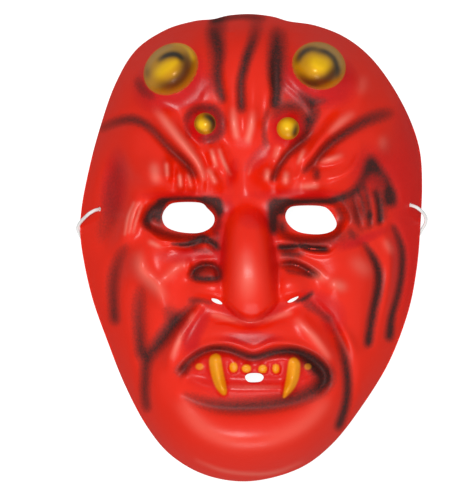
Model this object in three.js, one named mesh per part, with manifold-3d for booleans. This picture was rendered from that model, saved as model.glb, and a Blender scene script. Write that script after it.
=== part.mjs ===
// Devil half mask: a thin formed plastic face lying on its rim, with an elastic through two side holes.
// Millimetres. +Z is up out of the face, +Y is the top of the head, z = 0 is the table.
import * as THREE from "three";
import { mergeVertices } from "three/addons/utils/BufferGeometryUtils.js";
import Module from "manifold-3d";

const WALL = 0.8; // formed sheet
const CHIN_LIFT = 5.5; // the rim rises off the table towards the chin
const CORD_BRIDGE = 2.6; // the rim rides up over the elastic at each side
const BRIDGE_SPREAD = 9.5;
const CORD = 1.8; // elastic, across
const CORD_GAP = 0.3;
const CORD_BORE = CORD / 2 + CORD_GAP + 0.1; // radius of the side holes
const CORD_STEPS = 74;
const CORD_PASSES = [[-94.4, 6.4], [93.6, 8.4]]; // where the elastic goes in under the rim
// The elastic from its end inside the left hole: out, in under the rim, through the hollow, in at the right.
const CORD_ROUTE = [
  [-81.9, 21.9, 9.8], [-83.2, 21.6, 11.3], [-84.5, 21.3, 12.8], [-85.3, 21.1, 13.8], [-86.7, 20.7, 14.9],
  [-88.3, 19.9, 15.2], [-89.8, 19.0, 14.8], [-90.9, 18.1, 13.7], [-92.3, 16.8, 11.3], [-94.0, 15.1, 8.2],
  [-95.6, 13.1, 5.0], [-96.4, 10.8, 2.6], [-95.8, 8.2, 1.2], [-93.6, 4.4, 0.95], [-90, -3, 0.95],
  [-84, -13, 0.95], [-76, -24, 0.95], [-54, -42, 0.95], [-26, -52, 0.95], [4, -55, 0.95],
  [34, -49.4, 0.95], [60, -35, 0.95], [71, -25.5, 0.95], [87, -4.5, 0.95], [91, 2.4, 0.95],
  [93.6, 7.6, 0.95], [95.7, 11.0, 1.2], [97.0, 13.5, 2.4], [97.3, 15.8, 4.0], [96.5, 18.1, 6.3],
  [94.7, 20.3, 9.1], [93.8, 21.1, 10.0], [92.6, 22.0, 10.4], [91.2, 22.7, 10.3], [89.9, 23.2, 9.7],
  [89.0, 23.5, 9.0], [87.4, 24.0, 7.9], [85.9, 24.5, 6.7],
];
const KNOT = 5; // stopper knot inside each side hole, across
const FACETS = 6900; // of the face, both sides
const SOCKET_DEPTH = 7;
// A horn is a blunt dome on a swollen collar, which falls away to nothing at its reach, in horn radii.
const HORN = { rise: 21.5, blunt: 0.72, collar: 4.2, reach: 1.72 };
const HORNLET = { rise: 7.4, blunt: 0.5, collar: 4.8, reach: 2.35 };
const NOSE_FLANK = 13; // how far the nose's flank has fallen at the nose's half width
const NOSE_ROUND = 2.8; // power of that fall
const NOSE_BLEND = 3.4; // width over which the nose melts into the face
const NOSE_FOOT = -28; // where the nose turns under, beside its tip
const NOSE_TIP = 15; // how much further down the tip itself reaches, and how wide it is
// The middle of the head, without features: its height by y, and how fast it bends away sideways.
const CROWN = [
  [-130, 40], [-100, 40.5], [-70, 42.5], [-40, 44.5], [0, 45.5], [20, 45.4], [38, 44.6], [52, 45],
  [64, 46], [78, 46], [95, 47.4], [130, 50],
];
const CROWN_BEND = [[-130, 0.003], [-60, 0.0032], [20, 0.003], [60, 0.0018], [130, 0.0014]];

// The rim seen from above, anticlockwise from the top.
const RIM = [
  [0, 130], [12, 128.6], [21, 126.0], [36, 123.6], [52, 117.3], [66, 106.5], [78, 91], [88, 72.5],
  [94, 54], [95.3, 34], [94.2, 10], [92.3, -12], [87.5, -36], [77, -63.5], [62, -88], [45, -109.5],
  [26, -123.3], [0, -130], [-24, -127], [-44, -116], [-58, -99.5], [-70, -77], [-80, -52], [-89, -26],
  [-94.6, 2], [-94.6, 20], [-90.6, 42], [-84.6, 65], [-76, 90], [-64.5, 109.5], [-48, 121], [-32, 126],
  [-21, 127.2], [-12, 129.3],
];

// Swells are [middle, radii, height, turn, flatness]; strokes are [path, widths, heights] along the path.
const SWELLS = [
  // forehead lobe
  [[-2, 100], [19, 36], 2.4, 0, 1.8],
  [[-4, 68], [11, 9], 2.4, 0, 1.4],
  // temples
  [[-76, 33], [7.5, 17], -5.0, -7, 1.3],
  [[-80, 9], [4.5, 11], -1.6, -16, 1],
  [[68, 44], [6, 7], -3.2, 20, 1.2],
  [[78, 29], [3.6, 7], -2.4, 10, 1],
  [[61, 88], [7, 11], 2.6, 10, 1],
  [[73, 58], [5.5, 8], 2.8, 0, 1],
  // brow bosses
  [[-53, 41], [8, 10], 3.0, 0, 1.2],
  [[8.8, 40], [3.4, 5.4], 4.4, -12, 1],
  [[19, 38], [3.6, 5], 4.2, 0, 1],
  [[35.5, 35.4], [4.8, 3.8], 3.4, 0, 1],
  [[14.5, 52], [3, 4.6], 1.6, 0, 1],
  // eye corners
  [[-52.8, 16.5], [2.8, 3.2], 1.4, 0, 1],
  [[-25.4, 3], [1.3, 2.4], 1.2, 0, 1],
  // bags beside the nose
  [[-25, -7], [5, 1.8], 1.6, 0, 1],
  [[-23, -14], [4.2, 2.6], 1.0, 0, 1],
  // cheeks
  [[-52, -9], [18, 13], 5, -20, 1.2],
  [[-64, -9], [8, 11], 5, -20, 1.2],
  [[-52, -25], [6, 8], 2, 0, 1],
  [[54, -18], [18, 20], 8, 20, 1.3],
  [[46.5, -21.5], [4.6, 5], 2.6, 0, 1],
  // muzzle
  [[0, -54], [41, 17], 7.8, 0, 1.7],
  // mouth
  [[1, -70], [33, 8.5], -3.4, 0, 1.8],
  // small teeth
  [[-28.5, -66], [2.8, 2.8], 1.4, 0, 1.6],
  [[-9.6, -66.3], [2.6, 3.2], 1.8, 0, 1.6],
  [[-2.7, -67], [3.0, 2.8], 1.8, 0, 1.6],
  [[6.4, -67.2], [2.7, 2.6], 1.8, 0, 1.6],
  [[13.7, -67.2], [2.3, 2.9], 1.8, 0, 1.6],
  [[31.5, -66], [2.4, 2.4], 1.2, 0, 1.6],
  // chin
  [[-2, -108], [44, 15], 4.0, 0, 1.2],
];

const STROKES = [
  // forehead furrows and the ridges between them
  [[[-20, 121], [-18, 110], [-18, 97], [-15.5, 81]], [3.4, 3.6, 2.8], [-0.8, -2.4, -2.2, -1.2]],
  [[[2, 119], [-2, 107], [-5.5, 93], [-5.4, 76]], [3.0, 3.0, 2.6], [-0.6, -2.0, -2.2, -1.4]],
  [[[14, 121], [13.4, 105], [13.4, 91], [12.6, 78]], [3.4, 3.6, 2.6], [-0.8, -2.6, -2.6, -1.4]],
  [[[1.8, 94], [1.2, 82], [0.6, 68], [-2.4, 58]], [3.8], [0.6, 2.0, 3.4, 1.2]],
  [[[-9.6, 88], [-10.4, 78], [-10, 67], [-7, 58]], [3.8], [0.6, 2.0, 3.4, 1.2]],
  [[[10.4, 87], [8.8, 80], [7.6, 73]], [1.8], [0.5, 1.1, 0.6]],
  [[[-24.4, 101], [-25.4, 94], [-28.6, 88.5]], [2], [0.2, 0.4, 0.2]],
  [[[-25, 88], [-26.6, 82]], [1.8], [0.3, 0.6]],
  [[[16.6, 98], [18, 92.5], [21.4, 88.6], [27, 83.5], [31.4, 78], [33, 74.6]], [2.0],
    [0.4, 0.8, 0.8, 0.7, 0.8]],
  [[[34.6, 76], [41, 80], [50, 82.6]], [1.8], [0.9, 0.8, 0.4]],
  [[[-15.6, 119.4], [-9.6, 119.6]], [1.2], [0.6]],
  // between the brows
  [[[-5, 58], [-4, 47], [-4, 37], [-3, 28], [-3, 20]], [8], [-0.2, -1.8, -3.6, -5.2, -4.2]],
  // the brows' rolls and the mounds they lie on
  [[[-71, 52], [-64, 42.6], [-56, 38], [-46, 36], [-34, 35.6], [-22, 36], [-14, 38.6]],
    [6.5, 8, 9, 8.4, 8, 7.5, 6.5], [2.5, 9, 13.8, 11, 9, 8.6, 6.4]],
  [[[-66, 58], [-56, 54], [-44, 50], [-30, 49], [-20, 50]], [12, 13, 13, 12, 8.5],
    [2.8, 5.4, 6.2, 6.4, 5.6]],
  [[[70, 57], [63, 46], [54, 39.6], [44, 36.6], [32, 35.8], [20, 36], [11, 37.6], [6, 39]],
    [6.5, 8, 9, 8.4, 8, 8, 7.5, 6.5], [2.5, 9, 13.4, 11, 9, 8.6, 7.6, 6.2]],
  [[[66, 62], [56, 57], [44, 51], [32, 49], [20, 49]], [12, 13, 12.5, 12, 8], [2.8, 5.2, 6.2, 6.4, 5.0]],
  // upright wrinkles of the left brow
  [[[-22.4, 56], [-21, 50], [-19.2, 44]], [2.7], [2.0, 4.2, 2.4]],
  [[[-23, 44], [-21, 39], [-19, 35]], [2.5], [1.8, 4.0, 1.8]],
  [[[-18.2, 57], [-16.5, 50], [-14.5, 44], [-12.2, 39]], [2.7], [2.0, 4.2, 3.8, 1.6]],
  [[[-14, 55], [-11, 47]], [1.8], [0.7]],
  [[[-46.6, 48], [-46.2, 38]], [2.4], [3.8]],
  [[[-39.4, 43], [-39, 33]], [2.4], [3.8]],
  [[[-34.8, 42], [-33, 32.6]], [2.1], [2.6]],
  [[[-42.6, 45], [-42.4, 32]], [1.8], [-1.2]],
  [[[-36.4, 43], [-36.2, 31]], [1.6], [-0.7]],
  [[[-30.4, 38], [-30, 30]], [1.6], [-0.8]],
  [[[-24.6, 40], [-24.4, 31]], [1.8], [-0.9]],
  [[[-15.4, 37], [-14.6, 30]], [1.8], [-0.8]],
  // left arch, its crest and the line inside it
  [[[-86, 66], [-76, 70], [-66, 71], [-57, 67], [-49, 59.4], [-42, 52.4], [-35.5, 45.4], [-31.6, 38]],
    [3.6, 4.2, 3.8, 3.2, 2.8], [-1.2, -3.4, -4.0, -4.0, -3.6, -2.2]],
  [[[-60, 80], [-52, 74.6], [-45, 66], [-38.6, 58], [-33, 51.4], [-28.6, 45], [-26, 37]],
    [7, 6, 4.6, 3.4, 2.6], [2.0, 5.5, 6.5, 5.6, 3.2]],
  [[[-41, 76], [-35.6, 64], [-28.6, 54], [-23.6, 44]], [3.4, 3.0, 2.2], [-0.6, -1.6, -1.2]],
  [[[-50, 63], [-44, 55.4], [-38, 51.6]], [1.4], [0.5]],
  [[[-37.4, 60], [-31, 55.8], [-26, 53]], [2], [0.7]],
  // right arch, its crest and the strokes inside it
  [[[78, 75], [68, 72.4], [58, 67], [49, 61.4], [42, 56], [37, 50], [30, 42.4]],
    [3.8, 4.4, 3.8, 3.2, 2.6], [-1.2, -3.4, -4.0, -4.0, -3.4, -2.0]],
  [[[64, 80], [55, 74], [47, 67], [40, 60], [34.4, 53], [30, 46], [26, 38]], [7, 6, 4.4, 3.2, 2.6],
    [1.6, 4.6, 5.4, 4.6, 2.2]],
  [[[44, 76], [38, 68], [32, 60]], [3.4], [-0.6, -1.4, -0.8]],
  [[[32, 62], [26, 57.4], [20.4, 52], [16, 46], [12, 37]], [2.6, 2.4, 2.2], [-1.6, -2.8, -3.0, -2.0]],
  [[[29.4, 54.6], [27.6, 50], [26, 46]], [2.6], [1.6, 3.4, 1.8]],
  [[[50, 51], [45, 49], [38.6, 47.6]], [3.2], [1.8, 3.4, 1.8]],
  [[[33.6, 44.6], [41, 45], [50, 47.4]], [2.2], [-1.0, -1.6, -0.6]],
  [[[36.3, 43], [36, 38]], [2.0], [-1.0]],
  [[[61, 57], [58.4, 47.6], [53, 41], [44, 37.4]], [2.4], [0.8, 1.5, 1.4, 0.7]],
  [[[28.2, 40], [27.6, 31]], [1.8], [-0.8]],
  [[[14, 36], [13.6, 30]], [1.8], [-0.7]],
  // ridges of the temples and the feathered skin behind the eyes
  [[[-63, 27], [-66.6, 17], [-69.6, 8], [-74, -1]], [5.4, 6.0, 4.8], [2.8, 8.0, 7.4, 2.6]],
  [[[-62, 21], [-64.6, 12]], [0.9], [-0.5]],
  [[[-66.4, 20], [-68.6, 9]], [0.9], [-0.5]],
  [[[50.4, 26.4], [54, 20], [57.6, 13]], [2.3], [0.8, 2.0, 1.0]],
  [[[59.8, 30], [62.4, 24], [65, 17.4]], [2.2], [0.8, 2.0, 1.0]],
  [[[64.4, 32.4], [67.6, 27.4], [69, 20]], [2.1], [0.9, 1.8, 0.9]],
  [[[66.6, 33.4], [70, 35], [73.4, 33.8], [75.2, 30]], [1.8], [0.8, 1.3, 0.7]],
  [[[56.6, 28], [59, 20], [61, 11]], [1.9], [-1.0, -1.8, -1.2]],
  [[[70, 31], [71, 22], [71.8, 13]], [1.9], [-1.0, -2.6, -2.4]],
  [[[66.4, 19], [65.8, 11.6]], [1.7], [-1.6]],
  // lids and the bags below them
  [[[-59, 11], [-54.6, 7], [-51, 3.9], [-46, 3.4], [-40, 2.8]], [2.2, 2.0, 1.6], [1.2, 2.8, 2.6, 1.0]],
  [[[-43, 0.6], [-36.6, 0.2], [-31, 1.6], [-26.4, 3.4], [-21.6, 1.8], [-18, -1.6]], [1.6, 2.2, 2.0],
    [-1.0, -2.8, -3.2, -2.8, -1.8]],
  [[[-46, -1.8], [-40.6, -0.6]], [1.7], [0.8]],
  [[[14.4, 3], [19.6, 4], [25, 3.4]], [2.3], [1.4, 2.2, 1.2]],
  [[[15, -0.4], [20, -0.6], [25.4, -0.2]], [1.8], [-2.0, -2.8, -1.8]],
  [[[27.6, 0.6], [33, -0.8], [38, -1.2], [43, -1.2]], [1.8], [-2.0, -3.0, -3.0, -1.8]],
  [[[26.4, 3], [28, -0.8], [34, -3.4], [41, -4], [45.4, -2.4], [50.4, 1.6]], [1.7],
    [0.8, 1.3, 1.3, 1.3, 0.8]],
  [[[47, 5.4], [50.6, 8.6], [54, 14]], [2.4], [0.8, 2.2, 1.2]],
  // wrinkles beside the nose
  [[[-34.4, -7.6], [-34.8, -11.8]], [1.7], [1.1]],
  [[[-33.4, -17], [-31.8, -12.6], [-27, -10], [-22, -9.9], [-18, -12.6], [-17.2, -16]], [2.2],
    [-2.4, -3.4, -3.2, -2.8]],
  [[[-31, -17.8], [-24, -18.2], [-18, -17.8]], [1.8], [-1.6, -2.2, -1.6]],
  [[[15.6, -6.4], [22.4, -5.8], [30, -8.4], [37, -13], [40.4, -17]], [2.6], [0.8, 1.8, 1.8, 1.0]],
  [[[16.4, -9.8], [23.6, -9.4], [31, -12.8], [36.4, -16]], [2.0], [-1.8, -3.0, -3.0, -1.4]],
  // cheeks and their furrows
  [[[-61, -4], [-61.6, -11], [-57.6, -16.6], [-52, -20.4], [-49.6, -26], [-49, -32]],
    [4.6, 5.2, 5.2, 4.2], [2.0, 5.0, 5.0, 4.6, 2.0]],
  [[[-38, -9.6], [-44, -14], [-48, -19]], [3.8], [1.0, 2.0, 1.2]],
  [[[-68, 2], [-73, -6], [-76.4, -18], [-76.8, -31], [-75.6, -43]], [4.0, 4.6, 4.0, 3.2],
    [-1, -3.0, -3.0, -1.4]],
  [[[-60.4, -20], [-61.4, -36], [-61.2, -52], [-60.4, -63]], [4.0, 4.4, 3.6], [-1, -2.8, -2.2]],
  [[[61, 4], [67, -4], [70.6, -12], [71, -20], [68.6, -34], [66.4, -44], [65, -55]], [2.8, 3.6, 3.4, 3.0],
    [-1.4, -3.6, -3.6, -2.2]],
  [[[78, 14], [82, 5], [84.2, -4], [83.4, -20], [79, -37], [77, -51]], [2.8, 3.6, 3.4, 3.0],
    [-1.2, -3.0, -3.0, -2.0]],
  [[[73, 7], [77, -1], [77.4, -14], [74, -34]], [3.4], [1.4, 3.0, 1.4]],
  // folds from the nose to the jaw, with the muzzle's edges
  [[[-31, -31], [-37, -37.4], [-43, -43.6], [-48.6, -50.4], [-53.6, -57.4], [-57.4, -64.6], [-58.8, -74],
    [-58.8, -83], [-57, -92]], [3.2, 4.6, 5.2, 4.6, 4.0], [-1.2, -3.6, -4.2, -3.6, -2.8, -2.2, -1.0]],
  [[[-28.4, -33], [-33.8, -39.8], [-39.2, -47.2], [-43, -54.4], [-45.4, -61], [-45, -68]],
    [2.4, 3.4, 4.2, 4.0], [1.6, 3.8, 4.8, 4.4, 1.6]],
  [[[32, -28], [38, -34], [43.6, -40.6], [48, -49], [51.6, -58.6], [54, -69], [54.4, -80], [52.8, -90],
    [49, -102]], [3.0, 3.8, 4.2, 4.0], [-1.2, -3.2, -3.6, -3.8, -3.6, -2.8]],
  [[[25, -36], [31, -43.6], [37, -51], [42.6, -58.6], [46.6, -66]], [4.2, 4.8, 4.6, 3.6],
    [2.2, 4.4, 4.4, 2.2]],
  [[[33, -31], [38, -36], [43, -40.4]], [1.7], [0.8]],
  [[[50, -44], [54, -50], [57.6, -59]], [2.6], [1.4, 2.4, 1.0]],
  [[[-19.6, -41.4], [-14, -41.4], [-9.4, -41.2]], [0.9], [-0.5]],
  [[[-24, -36], [-12, -38.6], [0, -41], [12, -38.6], [24, -35]], [4.2], [-1.2, -2.8, -3.0, -2.8, -1.2]],
  // lips
  [[[-41, -67], [-35.6, -60.6], [-28, -55.4], [-20, -53], [-12, -53.2], [-6, -55], [0, -57.4], [3, -57.4],
    [8, -54.8], [13, -52.8], [20, -52.8], [27, -54.2], [34, -57.2], [39, -61.2], [43.6, -67], [44, -73]],
    [2.3], [1.0, 1.8, 2.6, 2.6, 2.6, 2.6, 2.4, 1.2]],
  [[[-38, -68.4], [-34, -63], [-27, -58.4], [-19, -56.6], [-10, -58], [0, -61.4], [10, -58.8],
    [20, -57.4], [29, -59.4], [37, -64.8], [41, -71], [37.6, -77.6]], [2.9, 3.2, 3.2, 3.2],
    [-3.0, -5.2, -5.4, -5.0, -5.4, -5.4, -2.8]],
  [[[-34, -73.4], [-24, -77], [-10, -77.8], [6, -78], [20, -78.4], [31, -74]], [2.8, 4.2, 4.8, 4.2, 2.8],
    [1.4, 3.2, 3.6, 3.2, 1.4]],
  [[[-38, -81], [-29, -85.8], [-15, -88.6], [2, -88.6], [17, -87], [28, -84], [38, -78.4], [43.4, -72]],
    [3.4, 4.8, 5.2, 4.8, 3.6], [-1.4, -3.0, -3.6, -3.4, -2.6]],
  [[[28.6, -74.4], [33, -72.4], [37.4, -70.6]], [2.2], [1.2, 1.9, 1.2]],
  [[[-38, -74], [-35.6, -70.4]], [1.8], [1.0]],
  // the chin's bowl
  [[[-40, -88], [-33, -99], [-18, -107], [0, -109.6], [18, -107.4], [33, -99], [42, -89]],
    [7, 9, 9.5, 9, 7], [2.0, 4.0, 4.4, 4.0, 2.0]],
  // fangs
  [[[-20.2, -60.6], [-19.4, -67], [-17.2, -74.6], [-15.2, -80]], [3.8, 3.8, 3.0, 1.8],
    [4.4, 6.0, 6.0, 4.6]],
  [[[24, -62.6], [23.8, -69], [21.8, -75.6], [19, -81.6]], [3.8, 3.8, 3.0, 1.8], [4.4, 6.0, 6.0, 4.6]],
];

const SOCKETS = [[[-38.6, 16], [22, 12], 1, -4, 2.4], [[32.4, 15.6], [21.4, 12], 1, 4, 2.4]];
const NOSE_MID = [[-45, 0], [0, -1.5], [25, -2.5], [60, -3]];
const NOSE_SPINE = [
  [-52, 40], [-44, 47], [-39, 55], [-33, 60.5], [-25, 63.6], [-16, 65], [-4, 63], [8, 58.5], [14, 54.6],
  [18, 50.6], [22, 45], [27, 38], [60, 10],
];
const NOSE_HALF = [[-46, 13], [-30, 14.6], [-10, 13.5], [10, 12.6], [24, 12], [60, 12]];
const WINGS = [[[-23, -23.4], [10.5, 8.5], 7.6, 12, 1.3], [[22.5, -22], [9.5, 8.5], 7.8, -12, 1.3]];
const HORNS = [[[-44.5, 99], [16, 13.2], 39], [[37.6, 100.8], [14.8, 13.1], -16]];
const HORNLETS = [[[-25.5, 68.5], [6, 6], 0], [[20.4, 65.8], [6.2, 6.2], 0]];
const EYE_L = [
  [-49.3, 17], [-47, 22], [-42, 24.8], [-28.5, 24.8], [-24, 21.5], [-20.4, 17], [-21.5, 12], [-27, 8.6],
  [-34, 8.0], [-42, 9.2], [-47.5, 12],
];
const EYE_R = [
  [19, 17], [20.5, 21.2], [25, 23.0], [38, 23], [43.5, 20.5], [47.3, 14], [46, 10], [41, 7.8], [34, 7.4],
  [26, 8.8], [21, 12.5],
];
const SLIT_L = [[-21.8, -28.2], [-18.2, -28.9], [-15.8, -31.2], [-18.2, -31.2], [-21.2, -29.8]];
const SLIT_R = [[20, -30.2], [22.2, -28.5], [26.3, -27], [24.8, -28.9], [22, -30.4]];
const GAPE = [
  [-3.4, -71.6], [-1.5, -69.9], [2, -69.5], [5.4, -70], [7.0, -71.8], [5.5, -74], [2, -74.6],
  [-1.8, -74.2],
];

const smooth = (v, lo, hi) => {
  const t = Math.min(1, Math.max(0, (v - lo) / (hi - lo)));
  return t * t * (3 - 2 * t);
};

// A smooth line through its points, with per steps to each span.
function spline(points, per, closed = false) {
  const n = points.length;
  const out = [];
  const mirrored = (a, b) => [2 * a[0] - b[0], 2 * a[1] - b[1]];
  for (let i = 0; i < (closed ? n : n - 1); i++) {
    const b = points[i];
    const c = points[(i + 1) % n];
    const a = closed || i ? points[(i + n - 1) % n] : mirrored(b, c);
    const d = closed || i + 2 < n ? points[(i + 2) % n] : mirrored(c, b);
    for (let k = 0; k < per; k++) {
      const t = k / per;
      out.push([0, 1].map((j) => 0.5 * (2 * b[j] + (c[j] - a[j]) * t +
        (2 * a[j] - 5 * b[j] + 4 * c[j] - d[j]) * t ** 2 + (3 * b[j] - a[j] - 3 * c[j] + d[j]) * t ** 3)));
    }
  }
  if (!closed) out.push(points[n - 1]);
  return out;
}

// A smooth value read from rows of [key, value].
function graded(v, rows) {
  const n = rows.length;
  v = Math.min(rows[n - 1][0], Math.max(rows[0][0], v));
  let i = 0;
  while (i < n - 2 && v > rows[i + 1][0]) i++;
  const slope = (k) => {
    if (k === 0) return (rows[1][1] - rows[0][1]) / (rows[1][0] - rows[0][0]);
    if (k === n - 1) return (rows[k][1] - rows[k - 1][1]) / (rows[k][0] - rows[k - 1][0]);
    const a = rows[k][0] - rows[k - 1][0];
    const b = rows[k + 1][0] - rows[k][0];
    const before = (rows[k][1] - rows[k - 1][1]) / a;
    const after = (rows[k + 1][1] - rows[k][1]) / b;
    return (before * b + after * a) / (a + b);
  };
  const h = rows[i + 1][0] - rows[i][0];
  const t = (v - rows[i][0]) / h;
  return (2 * t ** 3 - 3 * t * t + 1) * rows[i][1] + (t ** 3 - 2 * t * t + t) * h * slope(i) +
    (3 * t * t - 2 * t ** 3) * rows[i + 1][1] + (t ** 3 - t * t) * h * slope(i + 1);
}

// The value of an evenly spaced list, part t of the way along it.
function along(list, t) {
  const u = t * (list.length - 1);
  const i = Math.min(list.length - 2, Math.floor(u));
  return list.length === 1 ? list[0] : list[i] + (list[i + 1] - list[i]) * (u - i);
}

// Points evenly spread along a drawn line.
function evenly(line, count) {
  const run = [0];
  for (let i = 1; i < line.length; i++) {
    run.push(run[i - 1] + Math.hypot(line[i][0] - line[i - 1][0], line[i][1] - line[i - 1][1]));
  }
  const length = run[run.length - 1];
  const points = [];
  for (let k = 0, i = 0; k < count; k++) {
    const s = (length * k) / (count - 1);
    while (i < run.length - 2 && run[i + 1] < s) i++;
    const t = (s - run[i]) / (run[i + 1] - run[i]);
    points.push([0, 1].map((j) => line[i][j] + (line[i + 1][j] - line[i][j]) * t));
  }
  return { length, points };
}

// A soft stroke along a path: round beads so close that they run together.
function stroke([path, widths, heights]) {
  const line = path.length > 2 ? spline(path, 14) : path;
  const gap = 0.7 * Math.min(...widths);
  const count = Math.max(2, Math.ceil(evenly(line, 2).length / gap) + 1);
  const { length, points } = evenly(line, count);
  const beads = points.map(([x, y], k) => {
    const t = k / (count - 1);
    const w = along(widths, t);
    return [x, y, w, (along(heights, t) * length) / (count - 1) / (w * Math.sqrt(Math.PI))];
  });
  const far = 3 * Math.max(...widths);
  const low = [0, 1].map((j) => Math.min(...points.map((p) => p[j])) - far);
  const high = [0, 1].map((j) => Math.max(...points.map((p) => p[j])) + far);
  return (x, y) => {
    if (x < low[0] || x > high[0] || y < low[1] || y > high[1]) return 0;
    let sum = 0;
    for (const [a, b, w, h] of beads) {
      const d = ((x - a) ** 2 + (y - b) ** 2) / (w * w);
      if (d < 9) sum += h * Math.exp(-d);
    }
    return sum;
  };
}

// A point measured from a middle along turned axes.
function turned(x, y, [atX, atY], turn) {
  const c = Math.cos((turn * Math.PI) / 180);
  const s = Math.sin((turn * Math.PI) / 180);
  return [(x - atX) * c + (y - atY) * s, (y - atY) * c - (x - atX) * s];
}

// An oval rise; a bigger flatness gives a flatter top and a steeper side.
function swell([at, radii, height, turn, flatness]) {
  return (x, y) => {
    const [u, v] = turned(x, y, at, turn);
    return height * Math.exp(-(((u / radii[0]) ** 2 + (v / radii[1]) ** 2) ** flatness));
  };
}

// The rim as [direction, distance from the middle].
const rimPolar = spline(RIM, 12, true)
  .map(([x, y]) => [(Math.atan2(y, x) + 2 * Math.PI) % (2 * Math.PI), Math.hypot(x, y)])
  .sort((a, b) => a[0] - b[0]);
const lastRim = rimPolar[rimPolar.length - 1];
rimPolar.unshift([lastRim[0] - 2 * Math.PI, lastRim[1]]);
rimPolar.push([rimPolar[1][0] + 2 * Math.PI, rimPolar[1][1]]);

// The rim's distance from the middle in a direction.
function rimRadius(angle) {
  const a = (angle + 2 * Math.PI) % (2 * Math.PI);
  let lo = 0;
  let hi = rimPolar.length - 1;
  while (hi - lo > 1) {
    const m = (lo + hi) >> 1;
    if (rimPolar[m][0] <= a) lo = m;
    else hi = m;
  }
  const t = (a - rimPolar[lo][0]) / (rimPolar[hi][0] - rimPolar[lo][0]);
  return rimPolar[lo][1] + (rimPolar[hi][1] - rimPolar[lo][1]) * t;
}

// The rim's height over the table.
function rimLift(x, y) {
  const bridge = CORD_PASSES.reduce(
    (sum, [atX, atY]) => sum + Math.exp(-((Math.hypot(x - atX, y - atY) / BRIDGE_SPREAD) ** 4)), 0);
  return CHIN_LIFT * smooth(-y / Math.hypot(x, y), 0.72, 1) + CORD_BRIDGE * Math.min(1, bridge);
}

// How the skin is split into triangles: the first net, the places tested, and the limits.
const SECTORS = 24;
const RINGS = [0.2, 0.42, 0.62, 0.8, 0.93, 1];
const PLACES = [[1, 1, 0], [0, 1, 1], [1, 0, 1], [1, 1, 1], [4, 1, 1], [1, 4, 1], [1, 1, 4]];
const SHORTEST = 1.2;
const EVENNESS = 0.008;
const SLIMMEST = 0.22;
const WORTH_TURNING = 0.93;

const swells = SWELLS.map(swell);
const strokes = STROKES.map(stroke);
const sockets = SOCKETS.map(swell);
const wings = WINGS.map(swell);
const total = (forms, x, y) => forms.reduce((sum, form) => sum + form(x, y), 0);

// A horn with its collar.
function horn([at, radii, turn], form, x, y) {
  const [u, v] = turned(x, y, at, turn);
  const q = Math.hypot(u / radii[0], v / radii[1]);
  const spread = Math.min(1, Math.max(0, (form.reach - q) / (form.reach - 1)));
  return form.collar * spread ** 2 + form.rise * Math.max(0, 1 - q * q) ** form.blunt;
}

// The height of the face's outside over the table at a point seen from above.
function face(x, y) {
  const angle = Math.atan2(y, x);
  const radius = rimRadius(angle);
  const rho = Math.min(1, Math.hypot(x, y) / radius);
  const up = Math.sin(angle);
  const squareness = 7.5 - 0.7 * Math.max(0, up) ** 2 + 3 * Math.max(0, -up) ** 3;
  const crown = graded(y, CROWN) - graded(y, CROWN_BEND) * x * x;
  const relief = total(swells, x, y) + total(strokes, x, y) -
    SOCKET_DEPTH * smooth(total(sockets, x, y), 0.05, 0.95);
  let z = rimLift(radius * Math.cos(angle), radius * up) * rho ** 4 + crown * (1 - rho ** squareness);
  z += relief * (1 - rho ** 14);

  // The nose, melted into the face; it is pressed down where it has ended.
  const across = Math.abs(x - graded(y, NOSE_MID)) / graded(y, NOSE_HALF);
  const above = smooth(y - NOSE_FOOT + NOSE_TIP * Math.exp(-((x / NOSE_TIP) ** 2)), -4.5, 6);
  const ended = 20 * (1 - above) + 40 * smooth(y, 30, 48) + 40 * smooth(-y, 44, 56);
  const nose = graded(y, NOSE_SPINE) - NOSE_FLANK * across ** NOSE_ROUND - ended;
  z += above * total(wings, x, y);
  z = 0.5 * (z + nose + Math.hypot(z - nose, NOSE_BLEND));

  for (const row of HORNS) z += horn(row, HORN, x, y);
  for (const row of HORNLETS) z += horn(row, HORNLET, x, y);
  return z;
}

// The outward direction of the face's skin at a point, kept just inside the rim.
function outward(x, y) {
  const h = 0.6;
  const k = Math.min(1, (rimRadius(Math.atan2(y, x)) - 1.3 * h) / Math.hypot(x, y));
  const [a, b] = [x * k, y * k];
  const lean = [face(a - h, b) - face(a + h, b), face(a, b - h) - face(a, b + h)];
  return new THREE.Vector3(...lean, 2 * h).normalize();
}

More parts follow.
